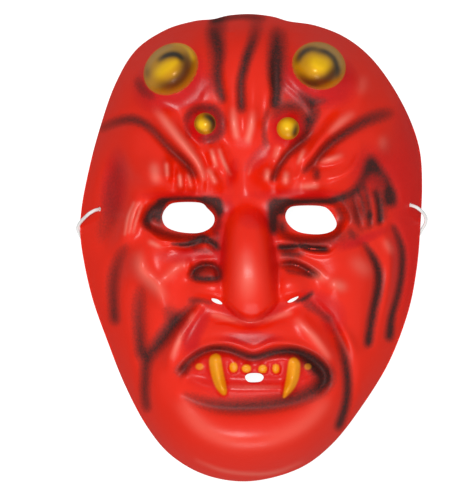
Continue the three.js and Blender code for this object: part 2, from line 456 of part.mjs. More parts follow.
// The skin as points and triangles, split where it bends most until there are enough triangles.
function skin(count) {
  const points = [];
  const onRim = [];
  const triangles = [];
  const errors = [];
  const edges = new Map();
  const addPoint = (x, y, rim) => {
    points.push(new THREE.Vector3(x, y, face(x, y)));
    onRim.push(rim);
    return points.length - 1;
  };
  const key = (a, b) => Math.min(a, b) * 65536 + Math.max(a, b);
  const sides = (t) => triangles[t].map((a, i) => key(a, triangles[t][(i + 1) % 3]));
  const span = (a, b) => Math.hypot(points[a].x - points[b].x, points[a].y - points[b].y);
  const cross = (a, b, c) => (points[b].x - points[a].x) * (points[c].y - points[a].y) -
    (points[c].x - points[a].x) * (points[b].y - points[a].y);
  const longest = (t) => {
    const [a, b, c] = triangles[t];
    const spans = [span(a, b), span(b, c), span(c, a)];
    return spans.indexOf(Math.max(...spans));
  };
  const middle = (a, b) => {
    const x = (points[a].x + points[b].x) / 2;
    const y = (points[a].y + points[b].y) / 2;
    if (!onRim[a] || !onRim[b] || edges.get(key(a, b)).size > 1) return [x, y, false];
    const angle = Math.atan2(y, x);
    return [rimRadius(angle) * Math.cos(angle), rimRadius(angle) * Math.sin(angle), true];
  };
  // How far the skin lies off the flat triangle between three points, at seven places of it.
  const gaps = (corners) => PLACES.map((weights) => {
    const p = new THREE.Vector3();
    weights.forEach((weight, i) => p.addScaledVector(points[corners[i]], weight));
    p.divideScalar(weights[0] + weights[1] + weights[2]);
    return face(p.x, p.y) - p.z;
  });
  const misfit = (corners) =>
    Math.abs(cross(...corners)) * gaps(corners).reduce((sum, gap) => sum + gap * gap, 0);
  const error = (t) => {
    const corners = triangles[t];
    const length = span(corners[longest(t)], corners[(longest(t) + 1) % 3]);
    if (length < SHORTEST) return 0;
    const flat = new THREE.Triangle(...corners.map((i) => points[i])).getNormal(new THREE.Vector3());
    const bulge = corners.map((a, i) => {
      const b = corners[(i + 1) % 3];
      const [x, y] = middle(a, b);
      return Math.hypot(x - (points[a].x + points[b].x) / 2, y - (points[a].y + points[b].y) / 2);
    });
    const off = Math.abs(flat.z) * Math.max(...gaps(corners).map(Math.abs));
    return off + 2 * Math.max(...bulge) + EVENNESS * length;
  };
  const link = (t) => {
    for (const k of sides(t)) edges.set(k, (edges.get(k) ?? new Set()).add(t));
    errors[t] = error(t);
  };
  const unlink = (t) => {
    for (const k of sides(t)) edges.get(k).delete(t);
  };
  const split = (t) => {
    for (;;) {
      const edge = sides(t)[longest(t)];
      const other = [...edges.get(edge)].find((o) => o !== t);
      if (other === undefined || sides(other)[longest(other)] === edge) {
        const ends = [Math.floor(edge / 65536), edge % 65536];
        const m = addPoint(...middle(...ends));
        for (const s of other === undefined ? [t] : [t, other]) {
          unlink(s);
          const [a, b] = triangles[s].filter((v) => ends.includes(v));
          const between = triangles[s].findIndex((v) => !ends.includes(v)) === 1;
          const [first, second] = between ? [b, a] : [a, b];
          const third = triangles[s].find((v) => !ends.includes(v));
          triangles[s] = [first, m, third];
          triangles.push([m, second, third]);
          link(s);
          link(triangles.length - 1);
        }
        return;
      }
      split(other);
    }
  };
  // Turns the edge between two triangles where the turned one follows the skin better.
  const turnEdges = () => {
    for (const [edge, pair] of [...edges]) {
      if (pair.size !== 2) continue;
      const [t, o] = pair;
      const ends = [Math.floor(edge / 65536), edge % 65536];
      const c = triangles[t].find((v) => !ends.includes(v));
      const d = triangles[o].find((v) => !ends.includes(v));
      const at = triangles[t].indexOf(c);
      const p = triangles[t][(at + 1) % 3];
      const q = triangles[t][(at + 2) % 3];
      const slimmest = SLIMMEST * span(c, d) ** 2;
      if (cross(p, d, c) < slimmest || cross(d, q, c) < slimmest) continue;
      const now = misfit(triangles[t]) + misfit(triangles[o]);
      if (misfit([p, d, c]) + misfit([d, q, c]) > WORTH_TURNING * now) continue;
      unlink(t);
      unlink(o);
      triangles[t] = [p, d, c];
      triangles[o] = [d, q, c];
      link(t);
      link(o);
    }
  };

  addPoint(0, 0, false);
  for (const rho of RINGS) {
    for (let k = 0; k < SECTORS; k++) {
      const angle = (2 * Math.PI * k) / SECTORS;
      const r = rho * rimRadius(angle);
      addPoint(r * Math.cos(angle), r * Math.sin(angle), rho === 1);
    }
  }
  const id = (ring, k) => 1 + ring * SECTORS + (k % SECTORS);
  for (let k = 0; k < SECTORS; k++) {
    triangles.push([0, id(0, k), id(0, k + 1)]);
    for (let r = 0; r + 1 < RINGS.length; r++) {
      triangles.push([id(r, k), id(r + 1, k), id(r + 1, k + 1)]);
      triangles.push([id(r, k), id(r + 1, k + 1), id(r, k + 1)]);
    }
  }
  triangles.forEach((_, t) => {
    for (const k of sides(t)) edges.set(k, (edges.get(k) ?? new Set()).add(t));
  });
  triangles.forEach((_, t) => link(t));
  for (const part of [0.5, 0.75, 0.9, 1]) {
    while (triangles.length < part * count) {
      let worst = 0;
      errors.forEach((e, t) => { if (e > errors[worst]) worst = t; });
      split(worst);
    }
    turnEdges();
    turnEdges();
  }
  return { points, onRim, triangles };
}

const wasm = await Module();
wasm.setup();

// A closed solid from corner coordinates and triangles.
function solid(coordinates, triangles) {
  return new wasm.Manifold(new wasm.Mesh({
    numProp: 3,
    vertProperties: Float32Array.from(coordinates),
    triVerts: Uint32Array.from(triangles),
  }));
}

function solidOf(geometry) {
  const g = geometry.clone();
  g.deleteAttribute("normal");
  g.deleteAttribute("uv");
  const { attributes, index } = mergeVertices(g, 1e-4);
  return solid(attributes.position.array, index.array);
}

// The formed sheet: the skin, the same skin one wall further in, and the rim between them.
function shell() {
  const { points, onRim, triangles } = skin(FACETS / 2);
  const inner = points.map((p, i) => {
    if (onRim[i]) {
      const k = 1 - (1.05 * WALL) / Math.hypot(p.x, p.y);
      return new THREE.Vector3(p.x * k, p.y * k, p.z);
    }
    const q = p.clone().addScaledVector(outward(p.x, p.y), -WALL);
    q.z = Math.max(0.05, q.z);
    return q;
  });
  const n = points.length;
  const faces = [...triangles, ...triangles.map(([a, b, c]) => [a + n, c + n, b + n])];
  const sides = triangles.flatMap(([a, b, c]) => [[a, b], [b, c], [c, a]]);
  const seen = new Set(sides.map(([a, b]) => `${a} ${b}`));
  for (const [a, b] of sides) {
    if (!seen.has(`${b} ${a}`)) faces.push([b, a, a + n], [b, a + n, b + n]);
  }
  return solid([...points, ...inner].flatMap((p) => p.toArray()), faces.flat());
}

const route = CORD_ROUTE.map((p) => new THREE.Vector3(...p));
const ends = [[route[0], route[3]], [route[route.length - 1], route[route.length - 4]]]
  .map(([inside, outside]) => ({ inside, outside, out: outside.clone().sub(inside).normalize() }));

// A round bar from one point to another.
function bar(from, to, radius, sides) {
  const run = to.clone().sub(from);
  const middle = from.clone().addScaledVector(run, 0.5);
  const upright = new THREE.Vector3(0, 1, 0);
  const lean = new THREE.Quaternion().setFromUnitVectors(upright, run.clone().normalize());
  const g = new THREE.CylinderGeometry(radius, radius, run.length(), sides).applyQuaternion(lean);
  return solidOf(g.translate(middle.x, middle.y, middle.z));
}

// Eyes, nostrils and mouth are cut straight down through the face, the side holes along the elastic.
function withOpenings(body) {
  for (const path of [EYE_L, EYE_R, SLIT_L, SLIT_R, GAPE]) {
    const outline = spline(path, path.length > 6 ? 4 : 3, true).map((p) => new THREE.Vector2(...p));
    const cut = new THREE.ExtrudeGeometry(new THREE.Shape(outline), { depth: 90, bevelEnabled: false });
    body = body.subtract(solidOf(cut.translate(0, 0, -5)));
  }
  for (const { inside, outside, out } of ends) {
    const from = inside.clone().addScaledVector(out, -1);
    const to = outside.clone().addScaledVector(out, 3);
    body = body.subtract(bar(from, to, CORD_BORE, 16));
  }
  return body;
}

// The elastic's route; every span between two points has as many steps, and the points crowd where it turns.
class Route extends THREE.CatmullRomCurve3 {
  getUtoTmapping(u) {
    return u;
  }
}

function elastic() {
  const section = new THREE.Shape(Array.from({ length: 8 }, (_, k) => {
    const a = (Math.PI * (k + 0.5)) / 4;
    return new THREE.Vector2((CORD / 2) * Math.cos(a), (CORD / 2) * Math.sin(a));
  }));
  const extrudePath = new Route(route, false, "centripetal");
  return solidOf(new THREE.ExtrudeGeometry(section, { steps: CORD_STEPS, extrudePath }));
}

// The stopper knot inside a hole, hollow for the end of the elastic.
function knot({ inside, out }) {
  const middle = inside.clone().addScaledVector(out, 0.1);
  const ball = new THREE.SphereGeometry(KNOT / 2, 10, 7).translate(middle.x, middle.y, middle.z);
  const from = inside.clone().addScaledVector(out, -CORD_GAP);
  const to = middle.clone().addScaledVector(out, KNOT);
  return solidOf(ball).subtract(bar(from, to, CORD_BORE, 8));
}

function mesh(name, body, color, roughness) {
  const m = body.getMesh();
  const p = new Float32Array(m.numVert * 3);
  for (let i = 0; i < m.numVert; i++) {
    p.set(m.vertProperties.subarray(i * m.numProp, i * m.numProp + 3), i * 3);
  }
  const g = new THREE.BufferGeometry().setAttribute("position", new THREE.BufferAttribute(p, 3));
  g.setIndex(new THREE.BufferAttribute(m.triVerts, 1));
  const made = new THREE.Mesh(g.toNonIndexed(), new THREE.MeshStandardMaterial({ color, roughness }));
  made.geometry.computeVertexNormals();
  made.name = name;
  return made;
}

const RED = 0xd5261a;
const WHITE = 0xf2f1ee;
const devilMask = new THREE.Group();
devilMask.name = "devil_half_mask";
devilMask.add(
  mesh("mask_shell", withOpenings(shell()), RED, 0.4),
  mesh("elastic_cord", elastic(), WHITE, 0.8),
  mesh("elastic_knot_left", knot(ends[0]), WHITE, 0.8),
  mesh("elastic_knot_right", knot(ends[1]), WHITE, 0.8),
);

export default devilMask;
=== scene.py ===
import bpy
import numpy as np
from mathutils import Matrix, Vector
from mathutils.geometry import delaunay_2d_cdt


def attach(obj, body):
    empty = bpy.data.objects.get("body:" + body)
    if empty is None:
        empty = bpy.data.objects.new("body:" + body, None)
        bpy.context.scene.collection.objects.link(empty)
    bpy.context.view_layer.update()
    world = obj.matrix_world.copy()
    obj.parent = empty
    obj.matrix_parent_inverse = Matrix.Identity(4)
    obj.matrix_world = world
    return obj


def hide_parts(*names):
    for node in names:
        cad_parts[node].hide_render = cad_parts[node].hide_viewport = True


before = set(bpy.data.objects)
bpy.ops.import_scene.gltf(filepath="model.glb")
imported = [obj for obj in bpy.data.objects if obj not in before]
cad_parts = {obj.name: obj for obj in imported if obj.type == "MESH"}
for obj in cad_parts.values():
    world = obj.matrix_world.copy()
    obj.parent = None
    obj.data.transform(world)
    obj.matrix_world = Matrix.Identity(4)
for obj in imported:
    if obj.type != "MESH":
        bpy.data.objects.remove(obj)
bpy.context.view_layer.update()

# The camera stands far above the mask and looks straight down on it, as the photograph looks at its front.
# One photograph pixel covers PIXEL of the rim's plane, and the pixel HEAD_PIXEL lies over the mask's middle.
MM = 0.001
PIXEL = 0.5567 * MM
PHOTO_SIZE = (462, 500)
HEAD_PIXEL = (251, 247.5)
CAMERA_HEIGHT = 8


def in_scene(name, data):
    """An object that shows a mesh, a lamp or a camera's lens."""
    shown = bpy.data.objects.new(name, data)
    bpy.context.collection.objects.link(shown)
    return shown


lens = bpy.data.cameras.new("long_lens")
lens.sensor_fit = "HORIZONTAL"
lens.lens = lens.sensor_width * CAMERA_HEIGHT / (PHOTO_SIZE[0] * PIXEL)
lens.clip_end = 2 * CAMERA_HEIGHT
camera = in_scene("camera", lens)
camera.location = (
    (PHOTO_SIZE[0] / 2 - HEAD_PIXEL[0]) * PIXEL,
    (HEAD_PIXEL[1] - PHOTO_SIZE[1] / 2) * PIXEL,
    CAMERA_HEIGHT,
)
bpy.context.scene.camera = camera

# The elastic is a round white cord braided over rubber threads, 1.8 mm thick and 0.3 m long.
# Each end goes in through a side hole of the mask and is stopped by a knot inside.
# Between its ends it goes under the rim at both sides and lies in the hollow. Its route is in millimetres.
CORD = 1.8
CORD_SIDES = 24
CORD_STEP = 0.25
SPAN_STEPS = 24  # between two points of the route
STRANDS = 6
STRAND_PITCH = 3.2
STRAND_RISE = 0.05  # of the cord's radius
ASLANT = (0.2, 0.3, 1)  # a direction that no cord here starts in
CORD_ROUTE = [
    (-81.9, 21.9, 9.8), (-83.2, 21.6, 11.3), (-84.5, 21.3, 12.8), (-85.3, 21.1, 13.8), (-86.7, 20.7, 14.9),
    (-88.3, 19.9, 15.2), (-89.8, 19, 14.8), (-90.9, 18.1, 13.7), (-92.3, 16.8, 11.3), (-94, 15.1, 8.2),
    (-95.6, 13.1, 5), (-96.4, 10.8, 2.6), (-95.8, 8.2, 1.2), (-93.6, 4.4, 0.95), (-90, -3, 0.95),
    (-84, -13, 0.95), (-76, -24, 0.95), (-54, -42, 0.95), (-26, -52, 0.95), (4, -55, 0.95),
    (34, -49.4, 0.95), (60, -35, 0.95), (71, -25.5, 0.95), (87, -4.5, 0.95), (91, 2.4, 0.95),
    (93.6, 7.6, 0.95), (95.7, 11, 1.2), (97, 13.5, 2.4), (97.3, 15.8, 4), (96.5, 18.1, 6.3),
    (94.7, 20.3, 9.1), (93.8, 21.1, 10), (92.6, 22, 10.4), (91.2, 22.7, 10.3), (89.9, 23.2, 9.7),
    (89, 23.5, 9), (87.4, 24, 7.9), (85.9, 24.5, 6.7),
]


def run_along(line):
    """How far along a line each of its points lies."""
    return np.concatenate([[0], np.cumsum(np.linalg.norm(np.diff(line, axis=0), axis=1))])


def along(line, places):
    """The points of a line that lie at some lengths along it."""
    return np.column_stack([np.interp(places, run_along(line), column) for column in line.T])


def unit(ways):
    """The same directions, each 1 long."""
    return ways / np.linalg.norm(ways, axis=-1, keepdims=True)


def bent_between(t, start, leave, end, arrive):
    """From start to end, at shares t of the way, with the slopes leave and arrive."""
    return (
        (2 * t**3 - 3 * t**2 + 1) * start + (t**3 - 2 * t**2 + t) * leave
        + (3 * t**2 - 2 * t**3) * end + (t**3 - t**2) * arrive
    )


def cord_line(points, gap):
    """Places every gap along the smooth line through the points; near points bend it as much as far ones."""
    p = np.array(points, float)
    p = np.vstack([2 * p[0] - p[1], p, 2 * p[-1] - p[-2]])
    line = []
    for a, b, c, d in zip(p, p[1:], p[2:], p[3:]):
        ab, bc, cd = (np.sqrt(np.linalg.norm(q - r)) for q, r in ((b, a), (c, b), (d, c)))
        leave = (b - a) / ab - (c - a) / (ab + bc) + (c - b) / bc
        arrive = (c - b) / bc - (d - b) / (bc + cd) + (d - c) / cd
        t = np.linspace(0, 1, SPAN_STEPS, endpoint=False)[:, None]
        line.append(bent_between(t, b, leave * bc, c, arrive * bc))
    line = np.vstack(line + [p[-2]])
    length = run_along(line)[-1]
    return along(line, np.linspace(0, length, int(length / gap) + 1))


def braided_tube(line, thickness, first):
    """Corners, counted from first, and faces of a closed tube, ribbed where the braid's strands cross."""
    ahead = unit(np.gradient(line, axis=0))
    side = np.cross(ahead[0], ASLANT)
    corners = []
    angles = np.linspace(0, 2 * np.pi, CORD_SIDES, endpoint=False)
    for middle, direction, run in zip(line, ahead, run_along(line)):
        side = unit(side - direction * (side @ direction))
        up = np.cross(direction, side)
        wind = 2 * np.pi * run / STRAND_PITCH
        strands = np.maximum(*(np.abs(np.sin(STRANDS / 2 * angles + turn)) for turn in (wind, -wind)))
        radius = thickness / 2 * (1 - STRAND_RISE + STRAND_RISE * strands)
        across = np.cos(angles)[:, None] * side + np.sin(angles)[:, None] * up
        corners.append(middle + radius[:, None] * across)
    count = len(line) * CORD_SIDES
    here = np.arange(count).reshape(len(line), CORD_SIDES)
    beside = np.roll(here, -1, axis=1)
    walls = np.stack([here[:-1], beside[:-1], beside[1:], here[1:]], -1).reshape(-1, 4) + first
    ends = [list(here[0][::-1] + first), list(here[-1] + first)]
    return np.vstack(corners), walls.tolist() + ends


def new_piece(name, corners, faces, *materials):
    """A smooth-shaded mesh from corners in millimetres."""
    mesh = bpy.data.meshes.new(name)
    mesh.from_pydata((np.asarray(corners) * MM).tolist(), [], faces)
    mesh.shade_smooth()
    for material in materials:
        mesh.materials.append(material)
    return in_scene(name, mesh)


def srgb(red, green, blue):
    """A colour as seen on screen, 0 to 255, in the shaders' own scale."""
    shares = (c / 255 for c in (red, green, blue))
    return [((c + 0.055) / 1.055) ** 2.4 if c > 0.04045 else c / 12.92 for c in shares] + [1]


def add(tree, kind, inputs=(), **settings):
    """A shader node; inputs pairs a socket's name or number with a value or with the socket that feeds it."""
    node = tree.nodes.new(kind)
    for key, value in settings.items():
        setattr(node, key, value)
    for key, value in dict(inputs).items():
        if isinstance(value, bpy.types.NodeSocket):
            tree.links.new(value, node.inputs[key])
        else:
            node.inputs[key].default_value = value
    return node


def new_material(name, **sockets):
    """A material with its own Principled BSDF, whose plain values are set by socket name."""
    material = bpy.data.materials.new(name)
    material.use_nodes = True
    shader = material.node_tree.nodes["Principled BSDF"]
    for key, value in sockets.items():
        shader.inputs[key.replace("_", " ")].default_value = value
    return material, material.node_tree, shader


def mottle(tree, scale, detail):
    """Noise that sticks to the piece, scale blotches to the metre, as a socket from 0 to 1."""
    place = add(tree, "ShaderNodeTexCoord").outputs["Object"]
    return add(tree, "ShaderNodeTexNoise", {"Vector": place, "Scale": scale, "Detail": detail}).outputs["Fac"]


def over(tree, under, colour, mask):
    """Lays a colour over another as thickly as the mask says."""
    return add(tree, "ShaderNodeMix", {0: mask, 6: under, 7: colour}, data_type="RGBA").outputs[2]


white_elastic, tree, shader = new_material(
    "white_elastic", Roughness=0.75, Sheen_Weight=0.3, Sheen_Roughness=0.4)
lint = mottle(tree, 2500, 3)
fuzz = add(tree, "ShaderNodeBump", {"Height": lint, "Strength": 0.35, "Distance": 0.0001})
tree.links.new(over(tree, srgb(226, 225, 222), srgb(248, 248, 246), lint), shader.inputs["Base Color"])
tree.links.new(fuzz.outputs["Normal"], shader.inputs["Normal"])

route = cord_line(CORD_ROUTE, CORD_STEP)
elastic = new_piece("elastic", *braided_tube(route, CORD, 0), white_elastic)

# Each stopper knot is an overhand knot in the elastic's own end, pulled tight, with a short cut tail.
# It is too thick for its side hole and lies against the inside of the mask.
KNOT_LOOP = 0.62
KNOT_CORD = 1.7
KNOT_DEPTH = 1.2  # in loops
KNOT_STEPS = 64
TAIL = 3.2
TAIL_WAY = (0.5, 0.8, -0.3)  # inward, sideways and up
TAIL_STEPS = 12
KNOT_REACH = 12  # steps of the elastic from its end to where it has left the knot
HOLE_REACH = 16  # steps of the elastic from its end to just outside its hole
UP = np.array([0.0, 0.0, 1.0])


def overhand(end, inward):
    """Corners and faces of a tight knot at the elastic's end; inward points away from the hole."""
    inward = unit(inward)
    side = unit(np.cross(inward, UP))
    up = np.cross(side, inward)
    t = np.linspace(0, 2 * np.pi, KNOT_STEPS)[:, None]
    loop = KNOT_LOOP * (
        (np.sin(t) + 2 * np.sin(2 * t)) * side + (np.cos(t) - 2 * np.cos(2 * t)) * up
        - KNOT_DEPTH * np.sin(3 * t) * inward
    )
    corners, faces = braided_tube(end + loop, KNOT_CORD, 0)
    root = end + KNOT_LOOP * up
    tail_way = sum(share * way for share, way in zip(TAIL_WAY, (inward, side, up)))
    tail = np.linspace(root, root + TAIL * tail_way, TAIL_STEPS)
    more_corners, more_faces = braided_tube(tail, KNOT_CORD, len(corners))
    return np.vstack([corners, more_corners]), faces + more_faces


for name, run in (("left", route), ("right", route[::-1])):
    knot = new_piece(f"{name}_knot", *overhand(run[0], run[0] - run[KNOT_REACH]), white_elastic)
    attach(knot, "root")
    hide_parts(f"elastic_knot_{name}")

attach(elastic, "root")
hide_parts("elastic_cord")

# The mask is a sheet of red plastic, 0.8 mm thick, softened by heat and sucked down over a carved mould.
# It is trimmed along its rim, cut out at the eyes, nostrils and mouth, and sprayed and painted outside.
# Lengths here are millimetres, with x to the right, y to the top of the head and z out of the face.
WALL = 0.8
CHIN_LIFT = 5.5
CHIN_FROM = 0.72  # sine of how far down the rim starts to rise
CORD_BRIDGE = 2.6
BRIDGE_SPREAD = 9.5
CORD_PASSES = [(-94.4, 6.4), (93.6, 8.4)]
BEAD_GAP = 0.7  # in the stroke's least width
BEAD_REACH = 3  # in its greatest width, past which a bead is next to nothing
RIM = [
    (0, 130), (12, 128.6), (21, 126), (36, 123.6), (52, 117.3), (66, 106.5), (78, 91), (88, 72.5), (94, 54),
    (95.3, 34), (94.2, 10), (92.3, -12), (87.5, -36), (77, -63.5), (62, -88), (45, -109.5), (26, -123.3),
    (0, -130), (-24, -127), (-44, -116), (-58, -99.5), (-70, -77), (-80, -52), (-89, -26), (-94.6, 2),
    (-94.6, 20), (-90.6, 42), (-84.6, 65), (-76, 90), (-64.5, 109.5), (-48, 121), (-32, 126), (-21, 127.2),
    (-12, 129.3),
]


def spline(points, per=14, closed=False):
    """A smooth line through two or more points, with per steps to each span."""
    p = np.array(points, float)
    if closed:
        before, after, last = np.roll(p, 1, 0), np.roll(p, -1, 0), np.roll(p, -2, 0)
    else:
        ends = np.vstack([2 * p[0] - p[1], p, 2 * p[-1] - p[-2]])
        before, p, after, last = ends[:-3], ends[1:-2], ends[2:-1], ends[3:]
    t = (np.arange(per) / per)[:, None]
    spans = [
        0.5 * (2 * b + (c - a) * t + (2 * a - 5 * b + 4 * c - d) * t**2 + (3 * b - a - 3 * c + d) * t**3)
        for a, b, c, d in zip(before, p, after, last)
    ]
    line = np.vstack(spans)
    return line if closed else np.vstack([line, after[-1]])


def step(v, low, high):
    """Rises smoothly from 0 at low to 1 at high."""
    t = np.clip((v - low) / (high - low), 0, 1)
    return t * t * (3 - 2 * t)


def graded(v, rows):
    """A smooth value read from rows of (key, value)."""
    keys, values = np.array(rows, float).T
    slopes = np.gradient(values, keys)
    v = np.clip(v, keys[0], keys[-1])
    i = np.clip(np.searchsorted(keys, v) - 1, 0, len(keys) - 2)
    h = keys[i + 1] - keys[i]
    t = (v - keys[i]) / h
    return bent_between(t, values[i], h * slopes[i], values[i + 1], h * slopes[i + 1])


def turned(x, y, at, turn):
    """A place measured from at along axes turned by turn degrees."""
    c, s = np.cos(np.radians(turn)), np.sin(np.radians(turn))
    return (x - at[0]) * c + (y - at[1]) * s, (y - at[1]) * c - (x - at[0]) * s


def in_radii(x, y, at, radii, turn=0):
    """How far a place lies from the middle of a turned oval, where the oval's own edge is 1."""
    u, v = turned(x, y, at, turn)
    return np.hypot(u / radii[0], v / radii[1])


def swell(x, y, at, radii, height, turn=0, flatness=1):
    """An oval rise; a bigger flatness gives a flatter top and a steeper side."""
    return height * np.exp(-(in_radii(x, y, at, radii, turn) ** (2 * flatness)))


def close_by(x, y, line, reach):
    """Which places lie in the box round a line, widened by reach."""
    low, top = line.min(0) - reach, line.max(0) + reach
    return (x > low[0]) & (x < top[0]) & (y > low[1]) & (y < top[1])


def stroke(x, y, path, widths, heights):
    """A soft stroke along a path: round beads so close that they run together."""
    line = spline(path)
    length = run_along(line)[-1]
    count = max(2, int(np.ceil(length / (BEAD_GAP * min(widths)))) + 1)
    share = np.linspace(0, 1, count)
    wide, high = (np.interp(share, np.linspace(0, 1, len(v)), v) for v in (widths, heights))
    near = close_by(x, y, line, BEAD_REACH * max(widths))
    here_x, here_y = x[near], y[near]
    sum_here = np.zeros(here_x.shape)
    for (at_x, at_y), w, h in zip(along(line, np.linspace(0, length, count)), wide, high):
        bead = h * length / (count - 1) / (w * np.sqrt(np.pi))
        sum_here += bead * np.exp(-((here_x - at_x) ** 2 + (here_y - at_y) ** 2) / (w * w))
    whole = np.zeros(x.shape)
    whole[near] = sum_here
    return whole


def total(form, rows, x, y):
    """The sum of one kind of form over all its rows."""
    return sum(form(x, y, *row) for row in rows)


rim_line = spline(RIM, 12, closed=True)
rim_angles = np.arctan2(rim_line[:, 1], rim_line[:, 0])
rim_order = np.argsort(rim_angles)


def rim_radius(angle):
    """How far the rim lies from the middle in a direction."""
    return np.interp(angle, rim_angles[rim_order], np.hypot(*rim_line[rim_order].T), period=2 * np.pi)


def rim_lift(x, y):
    """The rim's height over the table: raised under the chin, and where it rides over the elastic."""
    bridge = sum(np.exp(-((np.hypot(x - at_x, y - at_y) / BRIDGE_SPREAD) ** 4)) for at_x, at_y in CORD_PASSES)
    return CHIN_LIFT * step(-y / np.hypot(x, y), CHIN_FROM, 1) + CORD_BRIDGE * np.minimum(1, bridge)


# The face is a bulk that falls to the rim, with forms pressed into it and a nose and horns that stand out.
BULK = 7.5  # power of that fall: less at the forehead and more at the chin
FOREHEAD_ROUNDER = 0.7
CHIN_SQUARER = 3
LIFT_FADE = 4  # power by which the rim's own rise dies out inward
RELIEF_FADE = 14  # power by which the forms die out towards the rim
SOCKET_DEPTH = 7
SOCKET_EDGE = (0.05, 0.95)
HORN = {"rise": 21.5, "blunt": 0.72, "collar": 4.2, "reach": 1.72}
HORNLET = {"rise": 7.4, "blunt": 0.5, "collar": 4.8, "reach": 2.35}
NOSE_FLANK = 13  # how far the nose has fallen at its half width
NOSE_ROUND = 2.8  # power of that fall
NOSE_BLEND = 3.4  # width over which the nose melts into the face
NOSE_FOOT = -28  # where the nose turns under, beside its tip
NOSE_TIP = 15  # how much further down the tip reaches, and how wide it is
NOSE_TURN = (-4.5, 6)
NOSE_SINK = 20  # how far the nose is pressed down past its foot, and twice that past its ends
NOSE_TOP = (30, 48)
NOSE_END = (44, 56)
# The face along its middle, as (y, height), and how much it bends down sideways there, as (y, bend).
CROWN = [
    (-130, 40), (-100, 40.5), (-70, 42.5), (-40, 44.5), (0, 45.5), (20, 45.4), (38, 44.6), (52, 45),
    (64, 46), (78, 46), (95, 47.4), (130, 50),
]
CROWN_BEND = [(-130, 0.003), (-60, 0.0032), (20, 0.003), (60, 0.0018), (130, 0.0014)]
# Swells are [middle, radii, height, turn, flatness], and strokes are [path, widths, heights].
SWELLS = [
    # forehead lobe
    [(-2, 100), (19, 36), 2.4, 0, 1.8],
    [(-4, 68), (11, 9), 2.4, 0, 1.4],
    # temples
    [(-76, 33), (7.5, 17), -5, -7, 1.3],
    [(-80, 9), (4.5, 11), -1.6, -16, 1],
    [(68, 44), (6, 7), -3.2, 20, 1.2],
    [(78, 29), (3.6, 7), -2.4, 10, 1],
    [(61, 88), (7, 11), 2.6, 10, 1],
    [(73, 58), (5.5, 8), 2.8, 0, 1],
    # brow bosses
    [(-53, 41), (8, 10), 3, 0, 1.2],
    [(8.8, 40), (3.4, 5.4), 4.4, -12, 1],
    [(19, 38), (3.6, 5), 4.2, 0, 1],
    [(35.5, 35.4), (4.8, 3.8), 3.4, 0, 1],
    [(14.5, 52), (3, 4.6), 1.6, 0, 1],
    # eye corners
    [(-52.8, 16.5), (2.8, 3.2), 1.4, 0, 1],
    [(-25.4, 3), (1.3, 2.4), 1.2, 0, 1],
    # bags beside the nose
    [(-25, -7), (5, 1.8), 1.6, 0, 1],
    [(-23, -14), (4.2, 2.6), 1, 0, 1],
    # cheeks
    [(-52, -9), (18, 13), 5, -20, 1.2],
    [(-64, -9), (8, 11), 5, -20, 1.2],
    [(-52, -25), (6, 8), 2, 0, 1],
    [(54, -18), (18, 20), 8, 20, 1.3],
    [(46.5, -21.5), (4.6, 5), 2.6, 0, 1],
    # muzzle
    [(0, -54), (41, 17), 7.8, 0, 1.7],
    # mouth
    [(1, -70), (33, 8.5), -3.4, 0, 1.8],
    # small teeth
    [(-28.5, -66), (2.8, 2.8), 1.4, 0, 1.6],
    [(-9.6, -66.3), (2.6, 3.2), 1.8, 0, 1.6],
    [(-2.7, -67), (3, 2.8), 1.8, 0, 1.6],
    [(6.4, -67.2), (2.7, 2.6), 1.8, 0, 1.6],
    [(13.7, -67.2), (2.3, 2.9), 1.8, 0, 1.6],
    [(31.5, -66), (2.4, 2.4), 1.2, 0, 1.6],
    # chin
    [(-2, -108), (44, 15), 4, 0, 1.2],
]

